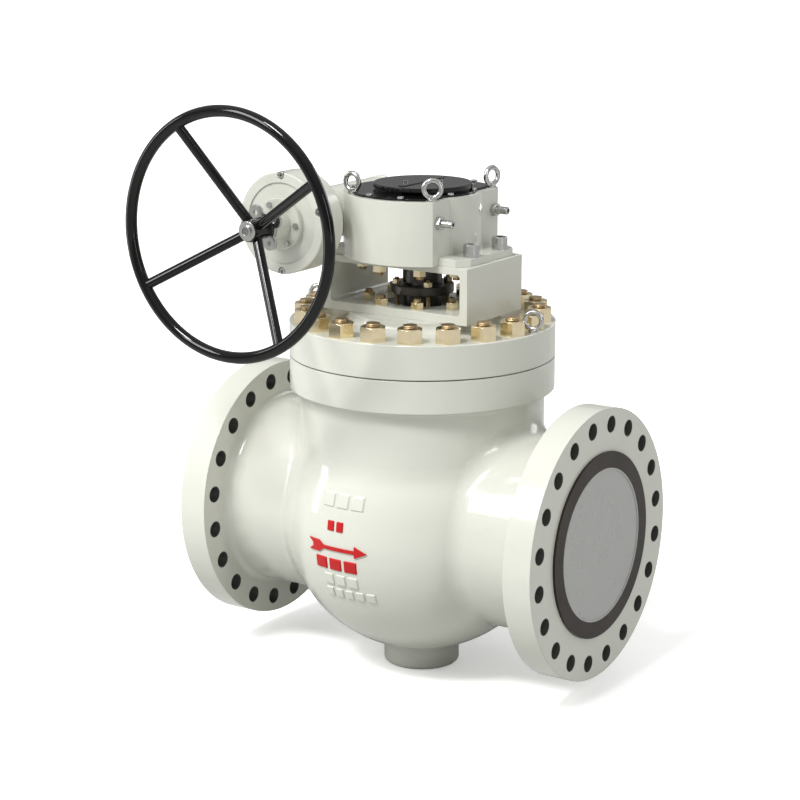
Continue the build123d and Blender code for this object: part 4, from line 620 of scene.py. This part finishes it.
# The thread colours are a darker copy of the yellow zinc: painted shade on the studs.
THREAD_ZINC_PAINTED_SHADE = (0.34, 0.25, 0.14, 1.0)
THREAD_ZINC_PALE_PAINTED_SHADE = (0.55, 0.43, 0.26, 1.0)
stud_finish_painted_shade = plated(
    "yellow_zinc_thread_painted_shade", THREAD_ZINC_PAINTED_SHADE, THREAD_ZINC_PALE_PAINTED_SHADE, 1.0, 0.30, 0.5, 300.0, 0.0003
)[0]


def on_circle(radius, count):
    """Points spaced evenly on a circle, with a gap and not a point on each axis."""
    step = 2 * math.pi / count
    angles = [step * (i + 0.5) for i in range(count)]
    return [(radius * math.cos(a), radius * math.sin(a)) for a in angles]


def in_corners(*offsets):
    """Each offset repeated in all four quarters."""
    return [(sx * x, sy * y) for x, y in offsets for sx in (-1, 1) for sy in (-1, 1)]


BONNET_CIRCLE_R = 0.297
GLAND_CIRCLE_R = 0.066
YOKE_STUD_OFFSETS = ((0.053, 0.106), (0.125, 0.056))
GEARBOX_STUD_OFFSETS = ((0.060, 0.106), (0.140, 0.062))
for name, node, points, radius, pitch, depth in (
    ("bonnet_stud_threads", "bonnet_studs", on_circle(BONNET_CIRCLE_R, 20), 0.018, 0.004, 0.0020),
    ("gland_stud_threads", "gland_studs", on_circle(GLAND_CIRCLE_R, 4), 0.006, 0.00175, 0.0009),
    ("yoke_stud_threads", "yoke_studs", in_corners(*YOKE_STUD_OFFSETS), 0.010, 0.0025, 0.0013),
    ("gearbox_stud_threads", "gearbox_studs", in_corners(*GEARBOX_STUD_OFFSETS), 0.010, 0.0025, 0.0013),
):
    threaded_studs(name, node, points, radius, pitch, depth, stud_finish_painted_shade)

# Eyebolts, cap screws, stop screws and their locknuts, lobed plate and wheel nut: steel with
# clear bright zinc, matt on the cold-forged faces and shiny on the rubbed ones.
CLEAR_ZINC = (0.42, 0.42, 0.41, 1.0)
CLEAR_ZINC_PALE = (0.60, 0.60, 0.59, 1.0)
bright_zinc = plated("bright_zinc", CLEAR_ZINC, CLEAR_ZINC_PALE, 1.0, 0.15, 0.30, 350.0, 0.0001)[0]
clothe(
    bright_zinc,
    "bonnet_eyebolts",
    "gearbox_eyebolts",
    "gearbox_cap_screws",
    "gearbox_cover_screws",
    "reducer_cover_screws",
    "bearing_screws",
    "stop_screws",
    "stop_locknuts",
    "indicator_screws",
    "handwheel_nut",
    "lobe_plate",
    "stem_key",
)

# Gland flange, gland bush and stem sleeve: turned steel, phosphated and oiled, nearly black. The
# gears, worm and bearings inside the boxes have the same oiled grey-black look.
PHOSPHATED = (0.055, 0.053, 0.050, 1.0)
PHOSPHATED_DRY = (0.095, 0.090, 0.085, 1.0)
oiled_steel = plated("oiled_dark_steel", PHOSPHATED, PHOSPHATED_DRY, 0.9, 0.26, 0.46, 500.0, 0.0003)[0]
clothe(oiled_steel, "gland_flange", "gland_bush", "stem_sleeve")
GROUND_STEEL = (0.22, 0.21, 0.20, 1.0)
GROUND_STEEL_PALE = (0.32, 0.31, 0.30, 1.0)
gear_steel = plated("gear_steel", GROUND_STEEL, GROUND_STEEL_PALE, 1.0, 0.22, 0.38, 600.0, 0.0002)[0]
clothe(
    gear_steel,
    "ring_gear",
    "sun_shaft",
    "planet_carrier",
    "planet_gear_1",
    "planet_gear_2",
    "planet_gear_3",
    "worm_shaft",
    "worm_bearings",
    "seat_springs",
    "trunnion_pin",
)

# Plug, stem, seats and thrust washers: steel with a hard, polished nickel plating, ground where
# it seals, so it mirrors with a faint warm tint.
WARM_NICKEL = (0.62, 0.59, 0.54, 1.0)
WARM_NICKEL_PALE = (0.70, 0.67, 0.62, 1.0)
nickel = plated("polished_nickel", WARM_NICKEL, WARM_NICKEL_PALE, 1.0, 0.07, 0.16, 800.0, 0.0001)[0]
clothe(nickel, "plug", "stem", "seat_ring_inlet", "seat_ring_outlet")
clothe(nickel, "trunnion_washer", "stem_thrust_washer")

# Worm wheel and plain bushes: bronze cast in a spinning mould, then turned, with the wheel's
# teeth hobbed. Oil keeps it bright.
CAST_BRONZE = (0.52, 0.32, 0.13, 1.0)
CAST_BRONZE_PALE = (0.62, 0.42, 0.20, 1.0)
bronze = plated("cast_bronze", CAST_BRONZE, CAST_BRONZE_PALE, 1.0, 0.24, 0.40, 450.0, 0.0003)[0]
clothe(bronze, "worm_wheel", "trunnion_bush", "stem_bush", "stem_collar_bush")


# Soft parts: PTFE-type seat inserts, rubber O-rings, graphite packing and the spiral-wound
# bonnet gasket with its dark graphite edge. Each one is pressed or moulded to shape.


def moulded(name, colour, tint, low, high, grain_scale, bump_height, settled=0.06):
    """Plastic, rubber or graphite: a drift between two close tints and a fine moulded grain."""
    finish, tree, shader = new_finish(name)
    place = put(tree, "ShaderNodeTexCoord")
    cloud = put(tree, "ShaderNodeTexNoise", {"Scale": 12.0, "Detail": 4.0})
    grain = put(tree, "ShaderNodeTexNoise", {"Scale": grain_scale, "Detail": 3.0})
    dust = put(tree, "ShaderNodeGroup", node_tree=dusty)
    mixed = put(tree, "ShaderNodeMix", {"A": colour, "B": tint}, data_type="RGBA")
    dusted = put(tree, "ShaderNodeMix", {"B": (0.42, 0.40, 0.36, 1.0)}, data_type="RGBA")
    rough = put(
        tree,
        "ShaderNodeMapRange",
        {"From Min": 0.3, "From Max": 0.7, "To Min": low, "To Max": high},
    )
    round_edge = put(tree, "ShaderNodeBevel", {"Radius": 0.0010}, samples=4)
    bump = put(tree, "ShaderNodeBump", {"Strength": 0.4, "Distance": bump_height})
    dust.inputs["Amount"].default_value = settled
    wire(
        tree,
        (place, "Object", cloud, "Vector"),
        (place, "Object", grain, "Vector"),
        (place, "Object", dust, "Vector"),
        (cloud, "Fac", mixed, "Factor"),
        (mixed, "Result", dusted, "A"),
        (dust, "Mask", dusted, "Factor"),
        (dusted, "Result", shader, "Base Color"),
        (cloud, "Fac", rough, "Value"),
        (rough, "Result", shader, "Roughness"),
        (grain, "Fac", bump, "Height"),
        (round_edge, "Normal", bump, "Normal"),
        (bump, "Normal", shader, "Normal"),
    )
    return finish, tree, shader


IVORY = (0.74, 0.72, 0.64, 1.0)
IVORY_PALE = (0.80, 0.78, 0.71, 1.0)
seat_polymer = moulded("seat_polymer", IVORY, IVORY_PALE, 0.35, 0.5, 400.0, 0.0002)[0]
clothe(seat_polymer, "seat_inserts")
RUBBER = (0.012, 0.012, 0.012, 1.0)
RUBBER_BLOOM = (0.022, 0.021, 0.020, 1.0)
oring_rubber = moulded("oring_rubber", RUBBER, RUBBER_BLOOM, 0.45, 0.6, 500.0, 0.0002)[0]
clothe(oring_rubber, "seat_orings")
GRAPHITE = (0.018, 0.018, 0.019, 1.0)
GRAPHITE_SHEEN = (0.035, 0.035, 0.037, 1.0)
graphite = moulded("pressed_graphite", GRAPHITE, GRAPHITE_SHEEN, 0.32, 0.55, 300.0, 0.0004)[0]
clothe(graphite, "packing_rings", "bonnet_gasket")

# Gearbox cover, indicator disc and handwheel: steel in gloss-black enamel, sprayed thick enough to
# flow out smooth. The wheel is wiped by hands, so it holds less dust.
BLACK = (0.003, 0.003, 0.003, 1.0)
BLACK_THIN = (0.006, 0.006, 0.006, 1.0)
black_enamel, tree, shader = moulded(
    "black_enamel", BLACK, BLACK_THIN, 0.06, 0.12, 240.0, 0.00008, settled=0.008
)
shader.inputs["Specular IOR Level"].default_value = 0.35
clothe(black_enamel, "gearbox_cover", "position_indicator")
WHEEL_BLACK = (0.002, 0.002, 0.002, 1.0)
WHEEL_BLACK_THIN = (0.005, 0.005, 0.005, 1.0)
wheel_enamel, tree, shader = moulded(
    "handwheel_enamel", WHEEL_BLACK, WHEEL_BLACK_THIN, 0.05, 0.09, 160.0, 0.00008, settled=0.004
)
shader.inputs["Specular IOR Level"].default_value = 0.32
clothe(wheel_enamel, "handwheel")

# Shipping covers: pressed from plain grey plastic with a matt moulded skin, and pushed into each
# bore by hand to keep dirt out.
CAP_GREY = (0.36, 0.365, 0.35, 1.0)
CAP_GREY_PALE = (0.42, 0.425, 0.41, 1.0)
cap_plastic = moulded("cap_plastic", CAP_GREY, CAP_GREY_PALE, 0.24, 0.38, 260.0, 0.0003)[0]
clothe(cap_plastic, "shipping_cover_inlet", "shipping_cover_outlet")

# Studio: a pale floor that runs out of sight, a white room, a broad soft sun from the front and
# four soft boxes around the valve, and the camera.
FLOOR_HALF = 200.0
floor_mesh = bpy.data.meshes.new("studio_floor")
floor_corners = [(FLOOR_HALF * x, FLOOR_HALF * y, 0) for x, y in ((-1, -1), (1, -1), (1, 1), (-1, 1))]
floor_mesh.from_pydata(floor_corners, [], [(0, 1, 2, 3)])
studio_floor = bpy.data.objects.new("studio_floor", floor_mesh)
bpy.context.scene.collection.objects.link(studio_floor)
floor_finish, tree, shader = new_finish("pale_floor")
shader.inputs["Base Color"].default_value = (0.95, 0.95, 0.94, 1.0)
shader.inputs["Roughness"].default_value = 0.75
shader.inputs["Specular IOR Level"].default_value = 0.1
shader.inputs["Emission Color"].default_value = (1.0, 1.0, 1.0, 1.0)
shader.inputs["Emission Strength"].default_value = 0.30
seen_by = put(tree, "ShaderNodeLightPath")
bounced = put(tree, "ShaderNodeBsdfDiffuse", {"Color": (0.52, 0.52, 0.51, 1.0)})
floor_mix = put(tree, "ShaderNodeMixShader")
wire(
    tree,
    (seen_by, "Is Camera Ray", floor_mix, "Fac"),
    (bounced, "BSDF", floor_mix, 1),
    (shader, "BSDF", floor_mix, 2),
    (floor_mix, "Shader", tree.nodes["Material Output"], "Surface"),
)
floor_mesh.materials.append(floor_finish)

room = bpy.data.worlds.new("studio_room")
room.use_nodes = True
wall = room.node_tree.nodes["Background"]
toward = put(room.node_tree, "ShaderNodeTexCoord")
climb = put(room.node_tree, "ShaderNodeSeparateXYZ")
glow = put(
    room.node_tree,
    "ShaderNodeMapRange",
    {"From Min": 0.0, "From Max": 0.9, "To Min": 0.18, "To Max": 0.74},
)
backdrop = put(
    room.node_tree,
    "ShaderNodeBackground",
    {"Color": (1.0, 1.0, 1.0, 1.0), "Strength": 1.0},
)
eye_ray = put(room.node_tree, "ShaderNodeLightPath")
either = put(room.node_tree, "ShaderNodeMixShader")
wire(
    room.node_tree,
    (toward, "Object", climb, "Vector"),
    (climb, "Z", glow, "Value"),
    (glow, "Result", wall, "Strength"),
    (eye_ray, "Is Camera Ray", either, "Fac"),
    (wall, "Background", either, 1),
    (backdrop, "Background", either, 2),
    (either, "Shader", room.node_tree.nodes["World Output"], "Surface"),
)
wall.inputs["Color"].default_value = (1.0, 1.0, 1.0, 1.0)
bpy.context.scene.world = room
bpy.context.scene.view_settings.view_transform = "Standard"

sun = bpy.data.lights.new("key_sun", "SUN")
sun.energy = 2.4
sun.angle = math.radians(14)
key_sun = bpy.data.objects.new("key_sun", sun)
TOWARDS_SUN = Vector((-0.10, -0.76, 1.04))
key_sun.rotation_euler = TOWARDS_SUN.to_track_quat("Z", "Y").to_euler()
bpy.context.scene.collection.objects.link(key_sun)


def soft_box(name, at, target, width, tall, power):
    """A large rectangular light aimed at the valve."""
    lamp = bpy.data.lights.new(name, "AREA")
    lamp.shape = "RECTANGLE"
    lamp.size = width
    lamp.size_y = tall
    lamp.energy = power
    light = bpy.data.objects.new(name, lamp)
    light.location = at
    light.rotation_euler = (Vector(target) - Vector(at)).to_track_quat("-Z", "Y").to_euler()
    bpy.context.scene.collection.objects.link(light)


soft_box("key_box", (-1.5, -2.8, 2.9), (0, 0, 0.6), 1.0, 1.5, 62)
soft_box("left_box", (-3.2, -1.6, 1.5), (0, 0, 0.7), 0.35, 2.4, 24)
soft_box("right_box", (3.4, -1.2, 1.9), (0, 0, 0.6), 0.35, 2.2, 18)
soft_box("back_box", (1.4, 3.6, 2.4), (0, 0, 0.7), 1.2, 1.8, 26)

AZIMUTH, ELEVATION = math.radians(33.3798778), math.radians(13.6439743)
SIDE_SHIFT, RISE_SHIFT, EYE_DISTANCE = -0.05701046, 0.29015441, 5.9473383
right = Vector((math.cos(AZIMUTH), math.sin(AZIMUTH), 0))
upward_axis = Vector(
    (
        -math.sin(AZIMUTH) * math.sin(ELEVATION),
        math.cos(AZIMUTH) * math.sin(ELEVATION),
        math.cos(ELEVATION),
    )
)
backward = Vector(
    (
        math.sin(AZIMUTH) * math.cos(ELEVATION),
        -math.cos(AZIMUTH) * math.cos(ELEVATION),
        math.sin(ELEVATION),
    )
)
eye = right * SIDE_SHIFT + upward_axis * RISE_SHIFT + backward * EYE_DISTANCE + Vector((0, 0, PIPE_Z))
lens = bpy.data.cameras.new("studio_camera")
lens.lens = 103.065
lens.sensor_width = 36.0
camera = bpy.data.objects.new("studio_camera", lens)
camera.matrix_world = Matrix(
    (
        (right.x, upward_axis.x, backward.x, eye.x),
        (right.y, upward_axis.y, backward.y, eye.y),
        (right.z, upward_axis.z, backward.z, eye.z),
        (0, 0, 0, 1),
    )
)
bpy.context.scene.collection.objects.link(camera)
bpy.context.scene.camera = camera
